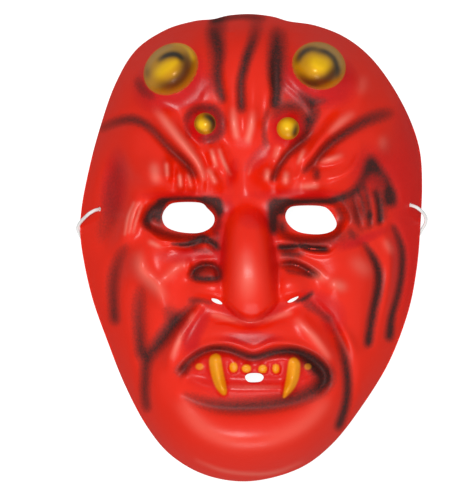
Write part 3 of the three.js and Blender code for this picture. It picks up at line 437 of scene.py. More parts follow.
STROKES = [
    # forehead furrows and the ridges between them
    [[(-20, 121), (-18, 110), (-18, 97), (-15.5, 81)], [3.4, 3.6, 2.8], [-0.8, -2.4, -2.2, -1.2]],
    [[(2, 119), (-2, 107), (-5.5, 93), (-5.4, 76)], [3, 3, 2.6], [-0.6, -2, -2.2, -1.4]],
    [[(14, 121), (13.4, 105), (13.4, 91), (12.6, 78)], [3.4, 3.6, 2.6], [-0.8, -2.6, -2.6, -1.4]],
    [[(1.8, 94), (1.2, 82), (0.6, 68), (-2.4, 58)], [3.8], [0.6, 2, 3.4, 1.2]],
    [[(-9.6, 88), (-10.4, 78), (-10, 67), (-7, 58)], [3.8], [0.6, 2, 3.4, 1.2]],
    [[(10.4, 87), (8.8, 80), (7.6, 73)], [1.8], [0.5, 1.1, 0.6]],
    [[(-24.4, 101), (-25.4, 94), (-28.6, 88.5)], [2], [0.2, 0.4, 0.2]],
    [[(-25, 88), (-26.6, 82)], [1.8], [0.3, 0.6]],
    [[(16.6, 98), (18, 92.5), (21.4, 88.6), (27, 83.5), (31.4, 78), (33, 74.6)], [2],
        [0.4, 0.8, 0.8, 0.7, 0.8]],
    [[(34.6, 76), (41, 80), (50, 82.6)], [1.8], [0.9, 0.8, 0.4]],
    [[(-15.6, 119.4), (-9.6, 119.6)], [1.2], [0.6]],
    # between the brows
    [[(-5, 58), (-4, 47), (-4, 37), (-3, 28), (-3, 20)], [8], [-0.2, -1.8, -3.6, -5.2, -4.2]],
    # the brows' rolls and the mounds they lie on
    [[(-71, 52), (-64, 42.6), (-56, 38), (-46, 36), (-34, 35.6), (-22, 36), (-14, 38.6)],
        [6.5, 8, 9, 8.4, 8, 7.5, 6.5], [2.5, 9, 13.8, 11, 9, 8.6, 6.4]],
    [[(-66, 58), (-56, 54), (-44, 50), (-30, 49), (-20, 50)], [12, 13, 13, 12, 8.5],
        [2.8, 5.4, 6.2, 6.4, 5.6]],
    [[(70, 57), (63, 46), (54, 39.6), (44, 36.6), (32, 35.8), (20, 36), (11, 37.6), (6, 39)],
        [6.5, 8, 9, 8.4, 8, 8, 7.5, 6.5], [2.5, 9, 13.4, 11, 9, 8.6, 7.6, 6.2]],
    [[(66, 62), (56, 57), (44, 51), (32, 49), (20, 49)], [12, 13, 12.5, 12, 8], [2.8, 5.2, 6.2, 6.4, 5]],
    # upright wrinkles of the left brow
    [[(-22.4, 56), (-21, 50), (-19.2, 44)], [2.7], [2, 4.2, 2.4]],
    [[(-23, 44), (-21, 39), (-19, 35)], [2.5], [1.8, 4, 1.8]],
    [[(-18.2, 57), (-16.5, 50), (-14.5, 44), (-12.2, 39)], [2.7], [2, 4.2, 3.8, 1.6]],
    [[(-14, 55), (-11, 47)], [1.8], [0.7]],
    [[(-46.6, 48), (-46.2, 38)], [2.4], [3.8]],
    [[(-39.4, 43), (-39, 33)], [2.4], [3.8]],
    [[(-34.8, 42), (-33, 32.6)], [2.1], [2.6]],
    [[(-42.6, 45), (-42.4, 32)], [1.8], [-1.2]],
    [[(-36.4, 43), (-36.2, 31)], [1.6], [-0.7]],
    [[(-30.4, 38), (-30, 30)], [1.6], [-0.8]],
    [[(-24.6, 40), (-24.4, 31)], [1.8], [-0.9]],
    [[(-15.4, 37), (-14.6, 30)], [1.8], [-0.8]],
    # left arch, its crest and the line inside it
    [[(-86, 66), (-76, 70), (-66, 71), (-57, 67), (-49, 59.4), (-42, 52.4), (-35.5, 45.4), (-31.6, 38)],
        [3.6, 4.2, 3.8, 3.2, 2.8], [-1.2, -3.4, -4, -4, -3.6, -2.2]],
    [[(-60, 80), (-52, 74.6), (-45, 66), (-38.6, 58), (-33, 51.4), (-28.6, 45), (-26, 37)],
        [7, 6, 4.6, 3.4, 2.6], [2, 5.5, 6.5, 5.6, 3.2]],
    [[(-41, 76), (-35.6, 64), (-28.6, 54), (-23.6, 44)], [3.4, 3, 2.2], [-0.6, -1.6, -1.2]],
    [[(-50, 63), (-44, 55.4), (-38, 51.6)], [1.4], [0.5]],
    [[(-37.4, 60), (-31, 55.8), (-26, 53)], [2], [0.7]],
    # right arch, its crest and the strokes inside it
    [[(78, 75), (68, 72.4), (58, 67), (49, 61.4), (42, 56), (37, 50), (30, 42.4)],
        [3.8, 4.4, 3.8, 3.2, 2.6], [-1.2, -3.4, -4, -4, -3.4, -2]],
    [[(64, 80), (55, 74), (47, 67), (40, 60), (34.4, 53), (30, 46), (26, 38)], [7, 6, 4.4, 3.2, 2.6],
        [1.6, 4.6, 5.4, 4.6, 2.2]],
    [[(44, 76), (38, 68), (32, 60)], [3.4], [-0.6, -1.4, -0.8]],
    [[(32, 62), (26, 57.4), (20.4, 52), (16, 46), (12, 37)], [2.6, 2.4, 2.2], [-1.6, -2.8, -3, -2]],
    [[(29.4, 54.6), (27.6, 50), (26, 46)], [2.6], [1.6, 3.4, 1.8]],
    [[(50, 51), (45, 49), (38.6, 47.6)], [3.2], [1.8, 3.4, 1.8]],
    [[(33.6, 44.6), (41, 45), (50, 47.4)], [2.2], [-1, -1.6, -0.6]],
    [[(36.3, 43), (36, 38)], [2], [-1]],
    [[(61, 57), (58.4, 47.6), (53, 41), (44, 37.4)], [2.4], [0.8, 1.5, 1.4, 0.7]],
    [[(28.2, 40), (27.6, 31)], [1.8], [-0.8]],
    [[(14, 36), (13.6, 30)], [1.8], [-0.7]],
    # ridges of the temples and the feathered skin behind the eyes
    [[(-63, 27), (-66.6, 17), (-69.6, 8), (-74, -1)], [5.4, 6, 4.8], [2.8, 8, 7.4, 2.6]],
    [[(-62, 21), (-64.6, 12)], [0.9], [-0.5]],
    [[(-66.4, 20), (-68.6, 9)], [0.9], [-0.5]],
    [[(50.4, 26.4), (54, 20), (57.6, 13)], [2.3], [0.8, 2, 1]],
    [[(59.8, 30), (62.4, 24), (65, 17.4)], [2.2], [0.8, 2, 1]],
    [[(64.4, 32.4), (67.6, 27.4), (69, 20)], [2.1], [0.9, 1.8, 0.9]],
    [[(66.6, 33.4), (70, 35), (73.4, 33.8), (75.2, 30)], [1.8], [0.8, 1.3, 0.7]],
    [[(56.6, 28), (59, 20), (61, 11)], [1.9], [-1, -1.8, -1.2]],
    [[(70, 31), (71, 22), (71.8, 13)], [1.9], [-1, -2.6, -2.4]],
    [[(66.4, 19), (65.8, 11.6)], [1.7], [-1.6]],
    # lids and the bags below them
    [[(-59, 11), (-54.6, 7), (-51, 3.9), (-46, 3.4), (-40, 2.8)], [2.2, 2, 1.6], [1.2, 2.8, 2.6, 1]],
    [[(-43, 0.6), (-36.6, 0.2), (-31, 1.6), (-26.4, 3.4), (-21.6, 1.8), (-18, -1.6)], [1.6, 2.2, 2],
        [-1, -2.8, -3.2, -2.8, -1.8]],
    [[(-46, -1.8), (-40.6, -0.6)], [1.7], [0.8]],
    [[(14.4, 3), (19.6, 4), (25, 3.4)], [2.3], [1.4, 2.2, 1.2]],
    [[(15, -0.4), (20, -0.6), (25.4, -0.2)], [1.8], [-2, -2.8, -1.8]],
    [[(27.6, 0.6), (33, -0.8), (38, -1.2), (43, -1.2)], [1.8], [-2, -3, -3, -1.8]],
    [[(26.4, 3), (28, -0.8), (34, -3.4), (41, -4), (45.4, -2.4), (50.4, 1.6)], [1.7],
        [0.8, 1.3, 1.3, 1.3, 0.8]],
    [[(47, 5.4), (50.6, 8.6), (54, 14)], [2.4], [0.8, 2.2, 1.2]],
    # wrinkles beside the nose
    [[(-34.4, -7.6), (-34.8, -11.8)], [1.7], [1.1]],
    [[(-33.4, -17), (-31.8, -12.6), (-27, -10), (-22, -9.9), (-18, -12.6), (-17.2, -16)], [2.2],
        [-2.4, -3.4, -3.2, -2.8]],
    [[(-31, -17.8), (-24, -18.2), (-18, -17.8)], [1.8], [-1.6, -2.2, -1.6]],
    [[(15.6, -6.4), (22.4, -5.8), (30, -8.4), (37, -13), (40.4, -17)], [2.6], [0.8, 1.8, 1.8, 1]],
    [[(16.4, -9.8), (23.6, -9.4), (31, -12.8), (36.4, -16)], [2], [-1.8, -3, -3, -1.4]],
    # cheeks and their furrows
    [[(-61, -4), (-61.6, -11), (-57.6, -16.6), (-52, -20.4), (-49.6, -26), (-49, -32)],
        [4.6, 5.2, 5.2, 4.2], [2, 5, 5, 4.6, 2]],
    [[(-38, -9.6), (-44, -14), (-48, -19)], [3.8], [1, 2, 1.2]],
    [[(-68, 2), (-73, -6), (-76.4, -18), (-76.8, -31), (-75.6, -43)], [4, 4.6, 4, 3.2], [-1, -3, -3, -1.4]],
    [[(-60.4, -20), (-61.4, -36), (-61.2, -52), (-60.4, -63)], [4, 4.4, 3.6], [-1, -2.8, -2.2]],
    [[(61, 4), (67, -4), (70.6, -12), (71, -20), (68.6, -34), (66.4, -44), (65, -55)], [2.8, 3.6, 3.4, 3],
        [-1.4, -3.6, -3.6, -2.2]],
    [[(78, 14), (82, 5), (84.2, -4), (83.4, -20), (79, -37), (77, -51)], [2.8, 3.6, 3.4, 3],
        [-1.2, -3, -3, -2]],
    [[(73, 7), (77, -1), (77.4, -14), (74, -34)], [3.4], [1.4, 3, 1.4]],
    # folds from the nose to the jaw, with the muzzle's edges
    [[(-31, -31), (-37, -37.4), (-43, -43.6), (-48.6, -50.4), (-53.6, -57.4), (-57.4, -64.6), (-58.8, -74),
        (-58.8, -83), (-57, -92)], [3.2, 4.6, 5.2, 4.6, 4], [-1.2, -3.6, -4.2, -3.6, -2.8, -2.2, -1]],
    [[(-28.4, -33), (-33.8, -39.8), (-39.2, -47.2), (-43, -54.4), (-45.4, -61), (-45, -68)],
        [2.4, 3.4, 4.2, 4], [1.6, 3.8, 4.8, 4.4, 1.6]],
    [[(32, -28), (38, -34), (43.6, -40.6), (48, -49), (51.6, -58.6), (54, -69), (54.4, -80), (52.8, -90),
        (49, -102)], [3, 3.8, 4.2, 4], [-1.2, -3.2, -3.6, -3.8, -3.6, -2.8]],
    [[(25, -36), (31, -43.6), (37, -51), (42.6, -58.6), (46.6, -66)], [4.2, 4.8, 4.6, 3.6],
        [2.2, 4.4, 4.4, 2.2]],
    [[(33, -31), (38, -36), (43, -40.4)], [1.7], [0.8]],
    [[(50, -44), (54, -50), (57.6, -59)], [2.6], [1.4, 2.4, 1]],
    [[(-19.6, -41.4), (-14, -41.4), (-9.4, -41.2)], [0.9], [-0.5]],
    [[(-24, -36), (-12, -38.6), (0, -41), (12, -38.6), (24, -35)], [4.2], [-1.2, -2.8, -3, -2.8, -1.2]],
    # lips
    [[(-41, -67), (-35.6, -60.6), (-28, -55.4), (-20, -53), (-12, -53.2), (-6, -55), (0, -57.4), (3, -57.4),
        (8, -54.8), (13, -52.8), (20, -52.8), (27, -54.2), (34, -57.2), (39, -61.2), (43.6, -67),
        (44, -73)], [2.3], [1, 1.8, 2.6, 2.6, 2.6, 2.6, 2.4, 1.2]],
    [[(-38, -68.4), (-34, -63), (-27, -58.4), (-19, -56.6), (-10, -58), (0, -61.4), (10, -58.8),
        (20, -57.4), (29, -59.4), (37, -64.8), (41, -71), (37.6, -77.6)], [2.9, 3.2, 3.2, 3.2],
        [-3, -5.2, -5.4, -5, -5.4, -5.4, -2.8]],
    [[(-34, -73.4), (-24, -77), (-10, -77.8), (6, -78), (20, -78.4), (31, -74)], [2.8, 4.2, 4.8, 4.2, 2.8],
        [1.4, 3.2, 3.6, 3.2, 1.4]],
    [[(-38, -81), (-29, -85.8), (-15, -88.6), (2, -88.6), (17, -87), (28, -84), (38, -78.4), (43.4, -72)],
        [3.4, 4.8, 5.2, 4.8, 3.6], [-1.4, -3, -3.6, -3.4, -2.6]],
    [[(28.6, -74.4), (33, -72.4), (37.4, -70.6)], [2.2], [1.2, 1.9, 1.2]],
    [[(-38, -74), (-35.6, -70.4)], [1.8], [1]],
    # the chin's bowl
    [[(-40, -88), (-33, -99), (-18, -107), (0, -109.6), (18, -107.4), (33, -99), (42, -89)],
        [7, 9, 9.5, 9, 7], [2, 4, 4.4, 4, 2]],
    # fangs
    [[(-20.2, -60.6), (-19.4, -67), (-17.2, -74.6), (-15.2, -80)], [3.8, 3.8, 3, 1.8], [4.4, 6, 6, 4.6]],
    [[(24, -62.6), (23.8, -69), (21.8, -75.6), (19, -81.6)], [3.8, 3.8, 3, 1.8], [4.4, 6, 6, 4.6]],
]

# Eye sockets and the nose's wings are given as swells. Of the nose: its middle line, the height of its
# spine and its half width, each as (y, value). Of horns and hornlets: middle, radii and turn of the foot.
# Eyes, nostril slits and the gap between the teeth are outlines.
SOCKETS = [[(-38.6, 16), (22, 12), 1, -4, 2.4], [(32.4, 15.6), (21.4, 12), 1, 4, 2.4]]
NOSE_MID = [(-45, 0), (0, -1.5), (25, -2.5), (60, -3)]
NOSE_SPINE = [
    (-52, 40), (-44, 47), (-39, 55), (-33, 60.5), (-25, 63.6), (-16, 65), (-4, 63), (8, 58.5), (14, 54.6),
    (18, 50.6), (22, 45), (27, 38), (60, 10),
]
NOSE_HALF = [(-46, 13), (-30, 14.6), (-10, 13.5), (10, 12.6), (24, 12), (60, 12)]
WINGS = [[(-23, -23.4), (10.5, 8.5), 7.6, 12, 1.3], [(22.5, -22), (9.5, 8.5), 7.8, -12, 1.3]]
HORNS = [[(-44.5, 99), (16, 13.2), 39], [(37.6, 100.8), (14.8, 13.1), -16]]
HORNLETS = [[(-25.5, 68.5), (6, 6), 0], [(20.4, 65.8), (6.2, 6.2), 0]]
EYE_L = [
    (-49.3, 17), (-47, 22), (-42, 24.8), (-28.5, 24.8), (-24, 21.5), (-20.4, 17), (-21.5, 12), (-27, 8.6),
    (-34, 8), (-42, 9.2), (-47.5, 12),
]
EYE_R = [
    (19, 17), (20.5, 21.2), (25, 23), (38, 23), (43.5, 20.5), (47.3, 14), (46, 10), (41, 7.8), (34, 7.4),
    (26, 8.8), (21, 12.5),
]
SLIT_L = [(-21.8, -28.2), (-18.2, -28.9), (-15.8, -31.2), (-18.2, -31.2), (-21.2, -29.8)]
SLIT_R = [(20, -30.2), (22.2, -28.5), (26.3, -27), (24.8, -28.9), (22, -30.4)]
GAPE = [
    (-3.4, -71.6), (-1.5, -69.9), (2, -69.5), (5.4, -70), (7, -71.8), (5.5, -74), (2, -74.6), (-1.8, -74.2),
]


def horn(x, y, at, radii, turn, form):
    """A horn and the swollen collar that falls away round it; reach is in horn radii."""
    q = in_radii(x, y, at, radii, turn)
    collar = form["collar"] * np.clip((form["reach"] - q) / (form["reach"] - 1), 0, 1) ** 2
    return collar + form["rise"] * np.clip(1 - q * q, 0, 1) ** form["blunt"]


def face(x, y):
    """The height of the face's outside over the table at a place seen from above."""
    angle = np.arctan2(y, x)
    radius = rim_radius(angle)
    rho = np.clip(np.hypot(x, y) / radius, 0, 1)
    up = np.sin(angle)
    squareness = BULK - FOREHEAD_ROUNDER * np.clip(up, 0, 1) ** 2 + CHIN_SQUARER * np.clip(-up, 0, 1) ** 3
    crown = graded(y, CROWN) - graded(y, CROWN_BEND) * x * x
    z = rim_lift(radius * np.cos(angle), radius * up) * rho**LIFT_FADE + crown * (1 - rho**squareness)
    relief = total(swell, SWELLS, x, y) + total(stroke, STROKES, x, y)
    relief -= SOCKET_DEPTH * step(total(swell, SOCKETS, x, y), *SOCKET_EDGE)
    z += relief * (1 - rho**RELIEF_FADE)

    across = np.abs(x - graded(y, NOSE_MID)) / graded(y, NOSE_HALF)
    above = step(y - NOSE_FOOT + NOSE_TIP * np.exp(-((x / NOSE_TIP) ** 2)), *NOSE_TURN)
    ended = NOSE_SINK * (1 - above) + 2 * NOSE_SINK * (step(y, *NOSE_TOP) + step(-y, *NOSE_END))
    nose = graded(y, NOSE_SPINE) - NOSE_FLANK * across**NOSE_ROUND - ended
    z += above * total(swell, WINGS, x, y)
    z = 0.5 * (z + nose + np.hypot(z - nose, NOSE_BLEND))
    z += sum(horn(x, y, *row, HORN) for row in HORNS)
    return z + sum(horn(x, y, *row, HORNLET) for row in HORNLETS)


# The outside is a lattice of triangles, FINE where it bends by more than BENDING and twice as wide elsewhere.
# Round the horns' feet, rings of points take the lattice's place. The inside is a coarser lattice.
FINE = 0.6
BENDING = 0.045
INNER_COARSENESS = 3
LATTICE_HALVES = (105, 140)
OUTLINE_STEP = 0.8
OUTER_CLEAR = 0.42  # between lattice and outlines
INNER_CLEAR = 1.3
FOOT_RINGS = (0.9, 0.94, 0.97, 0.988, 1.0, 1.012, 1.04)  # in foot radii
FOOT_BAND = (0.89, 1.06)
RING_STEP = 0.5
SIDE_HOLE = 1.3  # radius
HOLE_POINTS = 20
HOLE_SEARCH = (9, 400)  # how far along the elastic its hole is looked for, and in how many steps
PROBE = 0.3
NEARBY = 5  # past this from a line's box, a place counts as FAR
FAR = 1e3
SHARP_FROM = 65  # degrees
RIM_WALL = 1.05 * WALL
WIDEST_WALL = 2.5 * WALL


def resampled(line, gap):
    """Points every gap or so along a closed line."""
    line = np.vstack([line, line[:1]])
    length = run_along(line)[-1]
    return along(line, np.linspace(0, length, int(length / gap), endpoint=False))


def outward(x, y):
    """The outward direction of the skin at places; those at the rim are moved in a little to be probed."""
    k = np.minimum(1, (rim_radius(np.arctan2(y, x)) - 1.3 * PROBE) / np.hypot(x, y).clip(0.01))
    x, y = x * k, y * k
    fall_x = face(x - PROBE, y) - face(x + PROBE, y)
    fall_y = face(x, y - PROBE) - face(x, y + PROBE)
    return unit(np.column_stack([fall_x, fall_y, np.full(x.shape, 2 * PROBE)]))


def side_hole(inside_end, outside_end):
    """The outline, seen from above, of a round hole made along the elastic, and the way it was made."""
    way = unit(outside_end - inside_end)
    line = inside_end + way * np.linspace(0, *HOLE_SEARCH)[:, None]
    at = line[np.argmin(np.abs(face(line[:, 0], line[:, 1]) - line[:, 2]))]
    skin_way = outward(at[:1], at[1:2])[0]
    across = unit(np.cross(way, UP))
    t = np.linspace(0, 2 * np.pi, HOLE_POINTS, endpoint=False)[:, None]
    ring = SIDE_HOLE * (np.cos(t) * across + np.sin(t) * np.cross(across, way))
    ring -= way * (ring @ skin_way)[:, None] / (way @ skin_way)
    return (at + ring)[:, :2], way


def apart(x, y, line):
    """How far places lie from a closed line: below 0 inside it."""
    near = np.full(x.shape, FAR)
    inside = np.zeros(x.shape, bool)
    close = close_by(x, y, line, NEARBY)
    px, py = x[close], y[close]
    d = np.full(px.shape, FAR)
    odd = np.zeros(px.shape, bool)
    for (ax, ay), (bx, by) in zip(line, np.roll(line, -1, 0)):
        run_x, run_y = bx - ax, by - ay
        t = np.clip(((px - ax) * run_x + (py - ay) * run_y) / (run_x**2 + run_y**2), 0, 1)
        d = np.minimum(d, np.hypot(px - ax - t * run_x, py - ay - t * run_y))
        if ay != by:
            odd ^= ((ay > py) != (by > py)) & (px < run_x * (py - ay) / run_y + ax)
    near[close] = d
    inside[close] = odd
    return np.where(inside, -near, near)


def anticlockwise(line):
    """A closed line, turned about if it runs clockwise."""
    (ax, ay), (bx, by) = line[:2] - line.mean(0)
    return line if ax * by > ay * bx else line[::-1]


cuts = [spline(path, 8, closed=True) for path in (EYE_L, EYE_R, SLIT_L, SLIT_R, GAPE)]
openings = [(resampled(cut, OUTLINE_STEP), UP) for cut in cuts]
openings += [side_hole(run[0], run[HOLE_REACH]) for run in (route, route[::-1])]
openings = [(anticlockwise(line), way) for line, way in openings]
rim = resampled(rim_line, OUTLINE_STEP)
outlines = np.vstack([rim] + [line for line, _ in openings])
starts = np.cumsum([0, len(rim)] + [len(line) for line, _ in openings])
loops = [np.arange(a, b) for a, b in zip(starts, starts[1:])]


def foot_ring(at, radii, turn, size):
    """A ring round a horn, size times as wide as its foot."""
    t = np.linspace(0, 2 * np.pi, int(2 * np.pi * max(radii) / RING_STEP), endpoint=False)
    u, v = turned(size * radii[0] * np.cos(t), size * radii[1] * np.sin(t), (0, 0), -turn)
    return np.column_stack([at[0] + u, at[1] + v])


foot_rings = np.vstack([foot_ring(*row, size) for row in HORNS + HORNLETS for size in FOOT_RINGS])

ROW_GAP = FINE * np.sqrt(0.75)
last_column, last_row = int(LATTICE_HALVES[0] / FINE), int(LATTICE_HALVES[1] / ROW_GAP)
rows, columns = np.meshgrid(
    np.arange(-last_row, last_row + 1), np.arange(-last_column, last_column + 1), indexing="ij")
grid_x = (columns + 0.5 * (rows % 2)) * FINE
grid_y = rows * ROW_GAP
rim_gap = rim_radius(np.arctan2(grid_y, grid_x)) - np.hypot(grid_x, grid_y)
opening_gap = np.minimum.reduce([apart(grid_x, grid_y, line) for line, _ in openings])
grid_z = np.where(rim_gap > 0, face(grid_x, grid_y), 0)
# How far the outside bends away from straight over one FINE each way, along the rows and across them.
bend_x = np.abs(grid_z[2:-2, 2:] - 2 * grid_z[2:-2, 1:-1] + grid_z[2:-2, :-2])[:, 1:-1]
bend_y = np.abs(grid_z[4:, 2:-2] - 2 * grid_z[2:-2, 2:-2] + grid_z[:-4, 2:-2]) / 3
bends = np.pad(np.maximum(bend_x, bend_y) > BENDING, 2)


def every(n):
    """Every nth place of the lattice, row by row, staggered as the lattice is."""
    stagger = np.where((rows // n) % 2 == 0, 0, n // 2) if n % 2 == 0 else np.zeros(rows.shape, int)
    return (rows % n == 0) & ((columns - stagger) % n == 0)


def skin(keep, clear, more):
    """Triangles over the outlines, more points and the kept lattice places that are clear of the outlines."""
    keep = keep & (rim_gap > clear) & (opening_gap > clear)
    points = np.vstack([outlines, more, np.column_stack([grid_x[keep], grid_y[keep]])])
    edges = [(int(a), int(b)) for loop in loops[1:] for a, b in zip(loop, np.roll(loop, -1))]
    _, _, triangles, origins, _, _ = delaunay_2d_cdt(
        [Vector(p) for p in points], edges, [[int(k) for k in loops[0]]], 1, 1e-7)
    triangles = np.array([[origins[corner][0] for corner in triangle] for triangle in triangles])
    middles = points[triangles].mean(1).T
    open_here = np.minimum.reduce([apart(*middles, line) for line, _ in openings]) < 0
    return points, triangles[~open_here]


foot_gap = np.minimum.reduce([in_radii(grid_x, grid_y, *row) for row in HORNS + HORNLETS])
off_feet = (foot_gap < FOOT_BAND[0]) | (foot_gap > FOOT_BAND[1])
outer_xy, outer_triangles = skin((bends | every(2)) & off_feet, OUTER_CLEAR, foot_rings)
outer = np.column_stack([outer_xy, face(*outer_xy.T)])
inner_xy, inner_triangles = skin(every(INNER_COARSENESS), INNER_CLEAR, np.zeros((0, 2)))
direction = outward(*inner_xy.T)
inner = np.column_stack([inner_xy, face(*inner_xy.T)]) - WALL * direction
inner[: len(rim), :2] = rim * (1 - RIM_WALL / np.hypot(*rim.T))[:, None]
inner[: len(rim), 2] = outer[: len(rim), 2]
for loop, (line, way) in zip(loops[1:], openings):
    inner[loop] = outer[loop] - way * np.minimum(WALL / (direction[loop] @ way), WIDEST_WALL)[:, None]
corners = np.vstack([outer, inner])
first_inner = len(outer)
walls = []
for number, loop in enumerate(loops):
    ahead = np.roll(loop, -1)
    wall = np.stack([loop, loop + first_inner, ahead + first_inner, ahead], -1)
    walls.append(wall if number == 0 else wall[:, ::-1])
inside_faces = inner_triangles[:, ::-1] + first_inner
faces = outer_triangles.tolist() + inside_faces.tolist() + np.vstack(walls).tolist()

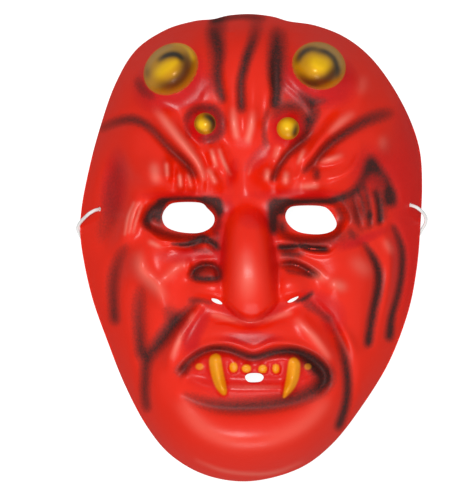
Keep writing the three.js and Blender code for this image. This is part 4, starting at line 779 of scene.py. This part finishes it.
# Dark brown strokes of the airbrush, and a few faint ones of painted shade, as [path, widths, strengths].
BROWN_STROKES = [
    # forehead
    [[(-21, 124), (-20, 119), (-18, 112), (-17.8, 105), (-18.4, 97), (-17.5, 89), (-15.6, 81.5)],
        [4, 4.4, 3.6, 3, 2.8, 2.5], [0.5, 0.95, 0.85, 0.75, 0.72, 0.74, 0.8]],
    [[(2.5, 120), (0.5, 113), (-2.2, 106), (-4, 99), (-5.6, 92), (-5.6, 84), (-5.3, 76.5)],
        [3.6, 3.1, 2.8, 2.8, 2.8], [0.45, 0.85, 0.95, 0.9, 0.82, 0.8, 0.9]],
    [[(14, 121), (13.8, 113), (13.4, 105), (13, 98), (13.3, 91), (14, 85), (12.6, 78.5)],
        [3.6, 4.3, 3.9, 3.2, 2.6], [0.5, 0.85, 1.15, 1.2, 1.05, 0.95]],
    [[(-22, 126), (-12, 128), (-2, 128.5), (8, 127.5)], [2], [0.7, 0.6, 0.5, 0.2]],
    [[(3, 128), (3, 121)], [4.5], [0.35]],
    [[(-17, 127), (-15, 121)], [3.5], [0.3]],
    [[(-23, 121), (-22.4, 102), (-19.6, 84)], [3.4], [0.16, 0.2, 0.12]],
    [[(18.4, 120), (18.2, 102), (16.4, 86)], [3.6], [0.2, 0.26, 0.16]],
    # round the horns and hornlets
    [[(-63, 93), (-60, 87), (-54, 83)], [3], [0.42, 0.5, 0.25]],
    [[(27, 84.5), (34, 81), (42, 81.5)], [2.4], [0.45, 0.6, 0.25]],
    [[(-36, 70), (-34, 74.5), (-28, 77.5), (-20, 76.6)], [2.5], [0.5, 0.55, 0.55, 0.6]],
    [[(-36, 67), (-34, 61)], [2.4], [0.3]],
    [[(12, 72), (16, 76.6), (22, 77.6), (28, 75), (31, 69)], [3], [0.3, 0.45, 0.42, 0.36, 0.34]],
    [[(-18.5, 75), (-16.2, 69), (-17.5, 63), (-22, 60), (-28, 60)], [3], [0.5, 0.52, 0.56, 0.5, 0.36]],
    [[(14, 80.5), (21, 79.5), (28, 79), (34, 79)], [3], [0.3, 0.34, 0.36, 0.38]],
    [[(38, 76), (35, 70)], [2.2], [0.34]],
    [[(9, 76), (7.4, 69), (7.4, 61), (9, 56)], [1.9], [0.35, 0.4, 0.45, 0.3]],
    # faint painted shade below the horns' collars and down between the brows
    [[(-34, 84), (-27, 88), (-23, 94)], [5], [0.1]],
    [[(22, 89), (26, 86), (33, 84)], [4], [0.12]],
    [[(8, 61), (5, 54), (-0.6, 47.6), (-4, 42)], [1.8], [0.1, 0.14, 0.14, 0.08]],
    # left arch
    [[(-84, 66), (-77, 69), (-70, 71), (-64, 70.8), (-58, 67.8), (-52.5, 63), (-47.5, 57.5), (-43.5, 53.3),
        (-38.5, 49), (-34.5, 44.5), (-31.5, 39.5)], [2.9, 2.9, 2.9, 2.5, 2.5, 2.9, 2.7, 2.4],
        [0.4, 0.5, 0.66, 0.74, 0.7, 0.62, 0.6, 0.62, 0.64, 0.66, 0.6]],
    # right arch and the strokes inside it
    [[(78, 75), (71, 73.2), (64, 70.5), (58, 67), (52, 63.3), (46, 59.3), (41, 55), (37, 50), (33.5, 46),
        (29, 42)], [3.6, 3.9, 3.3, 2.9, 3.1, 2.9, 2.5, 2],
        [0.45, 0.66, 0.72, 0.74, 0.78, 0.8, 0.7, 0.62, 0.55, 0.45]],
    [[(36.3, 43.5), (36.2, 38.5)], [2.2], [0.55, 0.75]],
    [[(34.5, 78), (32.8, 72), (32, 66.5), (29.5, 61), (25, 56.2), (21, 52.5), (17.5, 48), (14.5, 43),
        (12, 37.5)], [2.8, 3.3, 3.2, 3.2, 2.6, 2.2, 2.1], [0.6, 0.7, 0.72, 0.7, 0.64, 0.6, 0.58, 0.7]],
    # temples
    [[(-74, 47), (-76, 38), (-77.5, 29), (-78, 20), (-81, 11), (-83.5, 4)], [4, 6, 6.6, 6, 4.6],
        [0.15, 0.28, 0.34, 0.36, 0.34, 0.2]],
    [[(66, 50), (68, 45), (73, 40.5), (77, 35), (79, 28), (79.5, 23)], [3.4, 3.3, 2.6, 2.3, 2.2],
        [0.6, 0.85, 0.52, 0.4, 0.6, 0.35]],
    [[(66, 46), (62, 38), (58, 32), (52, 28.5), (46, 26.5)], [3, 2.8, 2.6, 2], [0.8, 0.6, 0.65, 0.75, 0.8]],
    [[(67, 45), (70, 35), (72.6, 24)], [5.4], [0.2, 0.3, 0.26]],
    [[(59, 32), (61.4, 25), (63.6, 16)], [4.4], [0.16, 0.24, 0.2]],
    [[(79, 31), (79.4, 25)], [2.6], [0.3, 0.3]],
    [[(50.5, 27), (54, 20), (56.5, 13.5)], [3], [0.5, 0.45, 0.35]],
    [[(56.5, 28), (58.8, 20), (60.5, 12)], [2.6], [0.5, 0.55, 0.45]],
    [[(62.6, 34), (65, 26), (66, 17)], [1.8], [0.45, 0.5, 0.4]],
    [[(59.4, 32), (62, 24), (63.4, 16)], [1.3], [0.3, 0.45, 0.3]],
    [[(75, 38), (76.6, 32), (77, 25)], [1.6], [0.2, 0.3, 0.2]],
    [[(72, 35), (73, 28), (74, 16)], [2.6], [0.15, 0.3, 0.3]],
    # faint painted shade under the feathered skin beside the right eye
    [[(50, 3), (58, 7), (66, 11), (72, 14)], [2.6], [0.14, 0.2, 0.18, 0.1]],
    [[(69, 31), (70.8, 24), (71.6, 14.5)], [2], [0.5, 0.65, 1]],
    [[(66, 19), (65.8, 12.5)], [1.8], [0.6]],
    [[(75.5, 32), (76.5, 24)], [2.2], [0.6]],
    [[(54.5, 10), (57, 6)], [2.2], [0.5]],
    # round the left eye
    [[(-48, 25), (-53, 21.5), (-56.5, 17), (-58.5, 13.5)], [2.2, 3.2, 2.8], [1, 1.3, 1.3, 0.8]],
    [[(-51, 25.6), (-42, 27), (-30, 27), (-18, 26)], [1.5, 1.3, 1.3, 2], [0.9, 0.75, 0.8, 1]],
    [[(-26, 25.5), (-20.5, 23.5), (-18, 20)], [2.8, 3.2, 2.6], [0.8, 0.9, 0.7]],
    [[(-17.5, 25), (-17, 19)], [2.2], [0.8, 0.7]],
    [[(-17.8, 18), (-18, 11)], [1.8], [0.5, 0.4]],
    [[(-58, 12), (-50, 8.6), (-42, 6.6), (-32, 5.6), (-24, 6.4)], [2.6], [0.6, 0.6, 0.55, 0.5, 0.4]],
    [[(-44, 2), (-37, 1.6), (-31, 2.8), (-26.5, 5)], [0.9, 1.7, 2.2], [0.5, 0.95, 1.2, 0.9]],
    [[(-26.5, 4.5), (-21.5, 3), (-18.3, -0.5)], [2.2, 2], [0.9, 1.1, 0.9]],
    [[(-32, -1), (-22, -2)], [1.8], [0.35]],
    [[(-22.4, 12), (-19.2, 8.4), (-18.4, 4)], [2.2], [0.3, 0.4, 0.3]],
    [[(-49.4, 20.4), (-51.4, 17), (-50.2, 13.2)], [2.2], [0.7, 0.9, 0.7]],
    # round the right eye
    [[(12, 24.5), (19, 24)], [3], [1.5, 1.3]],
    [[(12.3, 22), (12, 15), (12.3, 8.5)], [3, 2.6, 2.4], [1.5, 1.1, 1]],
    [[(15, 21), (18.5, 19)], [2.2], [1, 0.8]],
    [[(16.5, 14), (18, 8.5)], [2.8], [0.8, 0.7]],
    [[(19, 25), (28, 25.3), (38, 25.6), (46, 25.8)], [1.9], [1.2, 0.95, 0.95, 1.1]],
    [[(47.6, 22.5), (50.2, 16.5), (48.6, 11)], [2], [0.45, 0.5, 0.4]],
    [[(20, 5.4), (32, 3.4), (43, 4.2), (50, 8)], [3], [0.5, 0.62, 0.6, 0.5]],
    [[(15.5, 0.3), (20, 0.2), (25, 0.6)], [1.7], [1.1, 1.2, 1]],
    [[(26.6, 1), (33, -0.4), (38, -0.8), (42.5, -1.2)], [1.3, 1.7, 1.7], [0.9, 1.2, 1.2, 0.9]],
    [[(17, -3.5), (24, -3.8), (29, -3.4)], [2], [0.65, 0.75, 0.4]],
    # beside the nose and under its wings
    [[(-33, -16.5), (-31.5, -12.5), (-27, -9.8), (-22, -9.8), (-18, -12.5), (-17.2, -16)], [2.5, 2.3, 2.1],
        [0.55, 0.6, 0.66, 0.66, 0.6, 0.55]],
    [[(-31, -17.2), (-24, -17.6), (-18, -17.2)], [1.9], [0.8, 0.85, 0.8]],
    [[(-31, -14.6), (-27, -13.2), (-20.5, -14.2)], [2.7], [0.55, 0.5, 0.3]],
    [[(17, -9.5), (22, -8.6), (27, -9.8), (31.5, -12.2), (36.5, -15)], [2.8, 2.7, 2.4, 2.6],
        [0.5, 0.72, 0.66, 0.76, 0.66]],
    [[(20, -13), (28, -14.5), (33, -16)], [1.6], [0.45]],
    # painted shade in the creases under the nose's wings
    [[(-34, -29), (-28, -29.5), (-22, -30.8)], [1.8], [0.5, 0.5, 0.3]],
    [[(34, -25), (29, -28.5), (24, -30)], [1.4], [0.7, 0.85, 0.5]],
    [[(29, -31), (33, -35)], [1.8], [0.2]],
    # cheeks
    [[(-69, 1), (-73, -5), (-75.8, -13), (-76.8, -22), (-76.6, -31), (-75.8, -41)],
        [3.2, 3.9, 3.8, 3.4, 3.2], [0.3, 0.44, 0.6, 0.64, 0.68, 0.8]],
    [[(-61, -22), (-62, -30), (-62.4, -40), (-61.8, -50), (-61, -60)], [4, 4.1, 3.7, 3.3],
        [0.32, 0.54, 0.62, 0.72, 0.8]],
    [[(-31, -31.5), (-36.5, -36.5), (-42.5, -42), (-48, -49), (-53.5, -56), (-58, -63), (-58.8, -72),
        (-59.1, -81), (-57.8, -90)], [2.2, 3.4, 4.4, 3.8, 3.3, 3, 2.8],
        [0.35, 0.65, 0.88, 0.92, 0.8, 0.72, 0.7, 0.7, 0.65]],
    [[(-46, -34.6), (-43.6, -38.6)], [4.2], [0.5, 0.56]],
    [[(63, 2), (67.2, -4.5), (70.2, -11), (71, -18), (70, -26), (68.1, -34), (66.5, -43), (65, -54)],
        [1.9, 2.5, 2.7, 2.7, 2.7, 2.5], [0.5, 0.9, 1, 1, 0.95, 0.9, 1.1]],
    [[(79, 12), (82, 5), (84, -2), (84, -12), (83, -20), (81, -29), (78.4, -38), (76.9, -50.5)],
        [2, 2.3, 2.2, 2.3, 2.7], [0.5, 0.8, 0.85, 0.85, 0.9, 1.1]],
    [[(42, -38), (46, -44.6), (49.4, -53), (52, -62), (53.4, -71), (53.6, -80), (52.2, -89), (48.6, -100)],
        [3, 2.8, 2.6, 2.7, 2.6], [0.2, 0.3, 0.6, 0.85, 0.9, 0.9, 0.95, 1]],
    [[(31, -29.5), (37, -35.4), (43, -39.6)], [2.4], [0.3, 0.4, 0.4]],
    # mouth
    # faint painted shade beside the left fold and over the upper lip
    [[(-28, -38), (-32.4, -45.4), (-36.6, -53.6)], [2.2], [0.06, 0.13, 0.12]],
    [[(-13, -49), (0, -51.6), (13, -49)], [2.4], [0.1, 0.18, 0.1]],
    [[(-37, -70), (-34, -66.6)], [2.6], [0.22]],
    [[(28.6, -63), (33, -66), (37, -70)], [3], [0.4, 0.6, 0.6]],
    [[(-40, -69), (-36, -64.6), (-30, -59.5), (-25, -56.8), (-19, -55.8), (-12, -56.5), (-6, -58.8),
        (0, -60.5), (6, -60), (12, -58.2), (18, -57.4), (24, -57.5), (29, -59), (34, -61.8), (38, -65),
        (41.5, -69), (42, -73)], [3, 2.4, 2.5, 2.4, 2.3, 2.7, 3.1, 3.8, 4.8],
        [0.8, 0.66, 0.74, 0.8, 0.9, 0.92, 0.95, 0.95, 0.95]],
    [[(42, -73), (38.5, -77.5), (33, -80.5), (26, -83.5), (15, -86.3), (2, -87.8), (-10, -88.2),
        (-20, -87.4), (-29, -85), (-37, -81.5)], [4.6, 4.6, 4.4, 4.4, 4.4, 4.4, 4, 2.8],
        [0.95, 0.82, 0.76, 0.76, 0.76, 0.76, 0.74, 0.66, 0.48, 0.25]],
]
# Deep red painted shade, sprayed where the form turns away, as [middle, radii, strength, turn, flatness].
RED_SHADE_AREAS = [
    # horn collars and hornlet collars
    [(-45, 92), (21, 15), 0.8, 30, 3],
    [(38, 93), (21, 15), 1, -10, 3],
    [(-25.5, 68.5), (11, 11), 1, 0, 3],
    [(20.4, 66), (10, 10), 0.9, 0, 3],
    [(-29, 87), (13, 6), 0.7, 30, 1.5],
    [(25, 87), (11, 6), 0.7, -40, 1.5],
    [(4, 50), (10, 4), 0.7, 48, 1.5],
    [(-10.5, 41), (3, 9), 0.5, -14, 1.5],
    # brows' lower edges and the temples
    [(-38, 28.6), (24, 3), 0.5, 0, 1.5],
    [(28, 29), (27, 3.4), 0.7, 0, 1.5],
    [(-76, 34), (7, 19), 0.8, -6, 2],
    [(68, 42), (13, 14), 0.6, 0, 1.5],
    [(89, 24), (12, 70), 0.55, 0, 1.5],
    # round the nose
    [(12.6, -4), (3.4, 24), 0.6, 2, 1.5],
    [(-17.4, 0), (4, 20), 0.8, 0, 1.5],
    [(3, 16), (10, 6), 0.5, 0, 1.5],
    [(-10, -37), (13, 3), 0.6, -32, 1.5],
    [(10, -37), (13, 3), 0.6, 32, 1.5],
    [(52, 3), (11, 3), 0.5, 10, 1.5],
    [(-30, -3), (10, 3), 0.5, 0, 1.5],
    [(63, 4.6), (14, 2.6), 0.7, 24, 1.5],
    # muzzle, folds and mouth
    [(0, -50.4), (15, 3.4), 1, 0, 1.5],
    [(-38, 81), (10, 3), 0.6, 8, 1.5],
    [(9.4, 18), (2.4, 8), 0.5, 0, 1.5],
    [(-30, -45), (4.2, 14), 0.9, -28, 1.5],
    [(-34, -50), (4.5, 13), 0.6, 22, 1.5],
    [(39, -31), (13, 6), 0.7, -24, 1.5],
    [(1, -70), (38, 14), 0.5, 0, 3],
    [(46, -42), (7, 6), 0.6, -40, 1.5],
    [(-36, -5), (16, 4), 0.6, 0, 1.5],
    [(-13.5, 22), (4, 5), 0.8, 0, 1.5],
]
# Painted highlights, a paler pink on crests and bulges where the light glints, as the strokes.
PAINTED_HIGHLIGHTS = [
    # brows and the folds over them
    [[(-53, 77), (-46, 68), (-39.5, 60), (-34, 53), (-29, 46), (-26, 38)], [2.2, 2.6, 1.6],
        [0.1, 0.3, 0.32, 0.32, 0.3, 0.2]],
    [[(-10, 77), (-9.4, 69), (-8.2, 61)], [1.8], [0.1, 0.4, 0.34]],
    [[(0.8, 75), (0, 67), (-1.8, 59)], [1.8], [0.08, 0.42, 0.36]],
    [[(9.8, 56), (5, 50.4), (0.6, 46), (-1.4, 40.6)], [0.9], [0.24, 0.32, 0.3, 0.16]],
    [[(14.8, 55), (13.4, 50)], [1.6], [0.26]],
    [[(-22, 54), (-20.6, 49), (-19.4, 45)], [1.1], [0.2, 0.5, 0.24]],
    [[(-17.6, 54), (-15, 47), (-11.4, 40)], [1], [0.26, 0.5, 0.3]],
    [[(-23.6, 43), (-20, 36)], [1.4], [0.3]],
    [[(-46.8, 46), (-46.3, 40)], [1.1], [0.4, 0.3]],
    [[(-39.6, 39.6), (-39, 34)], [1.1], [0.44, 0.3]],
    [[(-34.6, 40), (-33.6, 34)], [1.1], [0.24, 0.14]],
    [[(-53.6, 45), (-52.6, 37)], [2.6], [0.28]],
    [[(9, 42.4), (8.6, 38)], [1.6], [0.4]],
    [[(19.4, 41), (18.8, 36)], [1.6], [0.36]],
    [[(28, 33.4), (36, 34)], [1.8], [0.36]],
    [[(50, 51), (45, 49), (39, 47.6)], [1.6], [0.12, 0.36, 0.2]],
    [[(29, 54), (27.4, 50), (26, 46.6)], [1.2], [0.16, 0.4, 0.2]],
    [[(56, 74), (50, 69.6), (44, 64)], [2.2], [0.12, 0.28, 0.14]],
    [[(62, 93), (61, 87)], [3], [0.14]],
    [[(73, 60), (73, 55)], [2.6], [0.16]],
    # temple and cheeks
    [[(-60.4, 24), (-63.4, 16), (-65.4, 8)], [0.8], [0.2, 0.36, 0.2]],
    [[(-62.6, 25), (-65.8, 17), (-67.6, 8)], [0.8], [0.2, 0.36, 0.2]],
    [[(-64.8, 25), (-68.2, 17), (-70, 7)], [0.9], [0.2, 0.36, 0.2]],
    [[(-62, -4), (-61.8, -10), (-57.6, -17), (-51, -23), (-48, -28)], [3.2, 3.6, 3.2],
        [0.12, 0.24, 0.22, 0.22, 0.12]],
    [[(-37, -8), (-43, -13), (-48, -18)], [2.6], [0.1, 0.16, 0.1]],
    [[(-56, 3), (-51, 0.8)], [1.4], [0.3]],
    [[(34, -14), (40, -17)], [2.4], [0.28]],
    [[(45, -20), (51, -22)], [2.8], [0.26]],
    [[(58, -8), (64, -13)], [4], [0.16]],
    [[(75, 3), (78, -2)], [2.2], [0.2]],
    # nose, folds and chin
    [[(-3, -4), (-2, -16), (-2, -30)], [4.4, 5.2, 4.4], [0.08, 0.26, 0.04]],
    [[(-22, -37), (-12, -39.4), (0, -41.4), (12, -38.8), (22, -36)], [1.5], [0.2, 0.36, 0.2, 0.36, 0.2]],
    [[(-32, -37), (-37, -46), (-41, -54), (-43.6, -61)], [1.5], [0.16, 0.4, 0.4, 0.16]],
    [[(25, -40), (35, -50), (43, -61)], [2], [0.12, 0.3, 0.16]],
    [[(-13, -76.8), (0, -77.4), (16, -77)], [1.1], [0.16, 0.46, 0.2]],
    [[(-38, -87), (-28, -99), (-13, -106.6), (4, -108), (20, -103), (32, -96), (41, -86)], [4.4, 4.8, 4.4],
        [0.1, 0.15, 0.13, 0.06, 0.12, 0.13, 0.1]],
    [[(-31, -118), (-16, -123.8), (0, -125.8), (14, -124.8), (29, -119)], [1.1],
        [0.06, 0.18, 0.2, 0.18, 0.06]],
]
# Yellow covers the fangs, given as outlines, and the small teeth, as [middle, radii, strength].
FANG_L = [
    (-23, -64), (-22.4, -60.6), (-19.6, -59), (-17.2, -60.4), (-16.3, -65), (-15.2, -71), (-14.1, -76),
    (-13.7, -80), (-14.8, -81.6), (-17, -80.4), (-19.8, -76.4), (-22, -70),
]
FANG_R = [
    (20.8, -64), (22, -61.6), (24.4, -61.2), (26.6, -63.4), (27, -67), (26.2, -72.4), (24, -77.4),
    (21, -81), (18, -83.2), (18.4, -78.6), (19.7, -72),
]
TEETH = [
    [(-28.5, -66), (2.2, 1.8), 0.5],
    [(-9.7, -66.3), (2.1, 2.6), 0.95],
    [(-2.6, -67), (2.4, 2.1), 1],
    [(6.4, -67.2), (2.2, 2.1), 1],
    [(13.7, -67.1), (1.8, 2.4), 0.9],
    [(31.4, -66), (1.9, 1.7), 0.4],
]
# On the horns, as the strokes: dark olive, burnt brown, bright yellow painted highlights,
# and pale painted reflections along their edges and round their feet.
HORN_OLIVE = [
    [[(-51, 103.6), (-46.5, 106.6), (-41, 106.8), (-37.6, 104)], [1.8], [0.6, 1.1, 1.1, 0.9]],
    [[(25.6, 103), (27.6, 107), (31, 109.4), (35.5, 110.4)], [1.9], [0.6, 0.9, 0.9, 0.6]],
    [[(36, 109), (41, 108.5), (45.3, 105.5), (47.6, 100.5), (47.6, 95)], [2], [0.6, 1, 1.1, 1, 0.6]],
    [[(-25.5, 73), (-22, 71.5), (-20.3, 67.5), (-22, 64)], [2.2], [0.8, 1, 0.9, 0.7]],
    [[(24.6, 67), (24, 62)], [1.8], [0.9]],
]
HORN_RUST = [
    [[(-35.6, 106), (-35.4, 99), (-39, 93), (-45, 89.4), (-51, 89)], [3.6], [0.7, 1, 1, 1, 0.6]],
    [[(-57.6, 95), (-58, 100)], [2.4], [0.5]],
    [[(46.5, 99), (43.5, 94), (37, 91), (31, 91), (26.4, 95)], [3.2], [1, 1, 1, 1, 0.6]],
    [[(-30, 71.6), (-30.4, 66), (-26.6, 63)], [1.6], [0.6, 0.5, 0.6]],
]
HORN_HIGHLIGHTS = [
    [[(-52, 96), (-49, 98.6), (-45, 101), (-41.5, 102.6)], [2.6, 3, 2.4, 1.6], [0.9, 1.2, 1.2, 0.7]],
    [[(-44, 114), (-38, 113), (-34, 110), (-31.6, 104.5)], [1.6], [0.7, 1, 1, 0.7]],
    [[(35, 104), (38, 100), (41, 102)], [3.4], [1.2]],
    [[(-28.5, 69), (-26.8, 67)], [2.2], [1.2]],
    [[(18.5, 68), (21.5, 67.6)], [2.6], [1.2]],
]
HORN_REFLECTIONS = [
    [[(-57.4, 99), (-55.2, 104), (-50.5, 108.6), (-44, 111.4)], [1.5], [0.3, 0.7, 0.9, 0.7]],
    [[(33, 113), (38, 112.4), (43, 110.4), (48, 106), (50.3, 100)], [1.3], [0.3, 0.6, 0.7, 0.6, 0.4]],
]
# Where the gold ends and over how much it fades, in foot radii, and the same of a small tooth's yellow.
GOLD_EDGE = (1.03, 0.06)
TOOTH_EDGE = (1.25, 0.5)
FANG_FADE = 0.7
PALE_RING = {"at": 0.97, "width": 0.035, "strength": 0.25}
COVER = 1.4


def mask_values(x, y):
    """How much of each sprayed or brushed colour lies at a place, from 0 to 1."""
    brushed = {"brown": BROWN_STROKES, "painted_highlight": PAINTED_HIGHLIGHTS, "olive": HORN_OLIVE, "rust": HORN_RUST,
               "gold_highlight": HORN_HIGHLIGHTS, "pale_reflection": HORN_REFLECTIONS}
    masks = {name: total(stroke, rows, x, y) for name, rows in brushed.items()}
    masks["red_shade"] = total(swell, RED_SHADE_AREAS, x, y)
    fangs = (spline(fang, 8, closed=True) for fang in (FANG_L, FANG_R))
    masks["yellow"] = sum(step(-apart(x, y, fang), -FANG_FADE, FANG_FADE) for fang in fangs)
    for at, radii, strength in TEETH:
        masks["yellow"] += strength * step(TOOTH_EDGE[0] - in_radii(x, y, at, radii), 0, TOOTH_EDGE[1])
    feet = [in_radii(x, y, *row) for row in HORNS + HORNLETS]
    masks["gold"] = sum(step(GOLD_EDGE[0] - foot, 0, GOLD_EDGE[1]) for foot in feet)
    ring = sum(np.exp(-(((foot - PALE_RING["at"]) / PALE_RING["width"]) ** 2)) for foot in feet)
    masks["pale_reflection"] += PALE_RING["strength"] * ring
    # Paint covers more than in step with its thickness, so the middle tones are pulled up.
    return {name: 1 - (1 - np.clip(mask, 0, 1)) ** COVER for name, mask in masks.items()}


def new_group(name, inputs, outputs):
    """A shader node group; inputs are (name, socket kind, value) and outputs are (name, socket kind)."""
    group = bpy.data.node_groups.new(name, "ShaderNodeTree")
    for label, kind, value in inputs:
        socket = group.interface.new_socket(label, in_out="INPUT", socket_type="NodeSocket" + kind)
        socket.default_value = value
    for label, kind in outputs:
        group.interface.new_socket(label, in_out="OUTPUT", socket_type="NodeSocket" + kind)
    return group, group.nodes.new("NodeGroupInput").outputs, group.nodes.new("NodeGroupOutput").inputs


# Pebbled grain that the mould's blasted face leaves in the sheet, over the faint waves of a formed sheet.
formed_grain, given, result = new_group(
    "formed_grain",
    [("Grain", "Float", 0.5), ("Pebbles per Metre", "Float", 1100.0)],
    [("Normal", "Vector"), ("Roughness", "Float"), ("Pebbles", "Float")],
)
pebbles = mottle(formed_grain, given["Pebbles per Metre"], 1.5)
ripple = mottle(formed_grain, 60, 2)
blasted = add(formed_grain, "ShaderNodeBump", {
    "Strength": given["Grain"], "Distance": 0.0001, "Height": pebbles})
waves = add(formed_grain, "ShaderNodeBump", {
    "Strength": 0.2, "Distance": 0.0015, "Height": ripple, "Normal": blasted.outputs["Normal"]})
shine = add(formed_grain, "ShaderNodeMapRange", {
    "Value": ripple, "From Min": 0.3, "From Max": 0.7, "To Min": 0.3, "To Max": 0.36})
formed_grain.links.new(waves.outputs["Normal"], result["Normal"])
formed_grain.links.new(shine.outputs["Result"], result["Roughness"])
formed_grain.links.new(pebbles, result["Pebbles"])


def maths(tree, operation, *values, **settings):
    """The result of a Math node, as a socket."""
    return add(tree, "ShaderNodeMath", dict(enumerate(values)), operation=operation, **settings).outputs[0]


def sprayed(tree, mask, speckle):
    """A mask whose thin parts break up into the droplets of a spray."""
    cover = maths(tree, "MULTIPLY_ADD", maths(tree, "SUBTRACT", speckle, 0.5), DROPLETS, mask)
    solid = add(tree, "ShaderNodeMapRange", {"Value": mask, "From Max": SOLID_FROM}).outputs["Result"]
    return maths(tree, "MULTIPLY", cover, solid, use_clamp=True)


def red_sheet(name, grain):
    """The bare red plastic of the sheet, as a material, its tree, its shader and its grain node."""
    material, tree, shader = new_material(name, Specular_IOR_Level=0.35)
    surface = tree.nodes.new("ShaderNodeGroup")
    surface.node_tree = formed_grain
    surface.inputs["Grain"].default_value = grain
    tree.links.new(surface.outputs["Normal"], shader.inputs["Normal"])
    tree.links.new(surface.outputs["Roughness"], shader.inputs["Roughness"])
    return material, tree, shader, surface


RED = srgb(234, 32, 0)
# The deep red of these is painted shade.
# The pale pink of these is painted highlight.
PAINTS = {
    "painted_highlight": srgb(250, 156, 136), "red_shade": srgb(204, 4, 8), "brown": srgb(62, 20, 16),
    "yellow": srgb(240, 152, 4),
}
GOLD = srgb(214, 150, 0)
# The bright yellow of these is painted highlight, and the pale gold painted reflection.
GOLD_PAINTS = {
    "rust": srgb(100, 52, 8), "olive": srgb(50, 38, 16), "gold_highlight": srgb(255, 198, 0),
    "pale_reflection": srgb(206, 158, 70),
}
SPRAYED = ("red_shade", "brown")
DROPLETS = 0.5  # how strongly they show
SOLID_FROM = 0.3
BROWN_DULLER = 0.3
GOLD_METALLIC = 0.1

painted_sheet, tree, shader, surface = red_sheet("painted_red_plastic", 0.55)
masks = {
    name: add(tree, "ShaderNodeAttribute", attribute_name=name).outputs["Fac"]
    for name in (*PAINTS, "gold", *GOLD_PAINTS)
}
speckle = mottle(tree, 900, 2)
colour = RED
for name, paint in PAINTS.items():
    cover = sprayed(tree, masks[name], speckle) if name in SPRAYED else masks[name]
    colour = over(tree, colour, paint, cover)
metal = GOLD
for name, paint in GOLD_PAINTS.items():
    metal = over(tree, metal, paint, masks[name])
colour = over(tree, colour, metal, masks["gold"])
dull = maths(tree, "MULTIPLY_ADD", masks["brown"], BROWN_DULLER, surface.outputs["Roughness"])
tree.links.new(colour, shader.inputs["Base Color"])
tree.links.new(dull, shader.inputs["Roughness"])
tree.links.new(maths(tree, "MULTIPLY", masks["gold"], GOLD_METALLIC), shader.inputs["Metallic"])

bare_sheet, tree, shader, surface = red_sheet("bare_red_plastic", 0.3)
tint = over(tree, srgb(200, 30, 18), srgb(226, 46, 28), surface.outputs["Pebbles"])
tree.links.new(tint, shader.inputs["Base Color"])

mask = new_piece("mask", corners, faces, painted_sheet, bare_sheet)
mask.data.set_sharp_from_angle(angle=np.radians(SHARP_FROM))
unpainted = np.zeros(len(faces), np.int32)
unpainted[len(outer_triangles):] = 1
mask.data.polygons.foreach_set("material_index", unpainted)
for name, values in mask_values(*outer_xy.T).items():
    attribute = mask.data.attributes.new(name, "FLOAT", "POINT")
    attribute.data.foreach_set("value", np.concatenate([values, np.zeros(len(inner))]).astype(np.float32))
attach(mask, "root")
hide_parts("mask_shell")

# The mask lies on a sheet of plain white paper under two soft lights: one over its nose, which gives
# highlights on its brows and cheeks beside the painted ones, and a weak one low down before its chin.
PAPER_HALF = 3000
PAPER_GLOW = 0.97  # in the camera's eye only
MASK_MIDDLE = (0, 0, 30 * MM)

paper, tree, shader = new_material("white_paper", Roughness=0.9, Emission_Color=(1, 1, 1, 1))
white = over(tree, srgb(124, 124, 124), srgb(134, 134, 134), mottle(tree, 400, 4))
tree.links.new(white, shader.inputs["Base Color"])
seen = add(tree, "ShaderNodeLightPath").outputs["Is Camera Ray"]
tree.links.new(maths(tree, "MULTIPLY", seen, PAPER_GLOW), shader.inputs["Emission Strength"])
paper_corners = [(x * PAPER_HALF, y * PAPER_HALF, 0) for x, y in ((-1, -1), (1, -1), (1, 1), (-1, 1))]
floor = new_piece("floor", paper_corners, [(0, 1, 2, 3)], paper)


def soft_light(name, place, size, power):
    """A square soft light that faces the middle of the mask; its place and size are in metres."""
    lamp = bpy.data.lights.new(name, "AREA")
    lamp.size = size
    lamp.energy = power
    light = in_scene(name, lamp)
    light.location = place
    light.rotation_euler = (Vector(MASK_MIDDLE) - Vector(place)).to_track_quat("-Z", "Y").to_euler()


soft_light("front_light", (-0.14, 0.16, 1.5), 0.42, 10.2)
soft_light("chin_light", (0.05, -1.1, 0.45), 0.6, 2.8)

# The tent of white cloth round the mask is brightest high up on the chin's side.
BRIGHT_SIDE = (0.12, -0.7, 0.7)

world = bpy.data.worlds.new("tent")
world.use_nodes = True
tent = world.node_tree
way = add(tent, "ShaderNodeTexCoord").outputs["Generated"]
toward = add(tent, "ShaderNodeVectorMath", {0: way, 1: BRIGHT_SIDE}, operation="DOT_PRODUCT")
cloth = add(tent, "ShaderNodeMapRange", {
    "Value": toward.outputs["Value"], "From Min": -0.3, "To Min": 0.49, "To Max": 0.63})
tent.nodes["Background"].inputs["Color"].default_value = (1, 1, 1, 1)
tent.links.new(cloth.outputs["Result"], tent.nodes["Background"].inputs["Strength"])
bpy.context.scene.world = world
bpy.context.scene.view_settings.view_transform = "Standard"
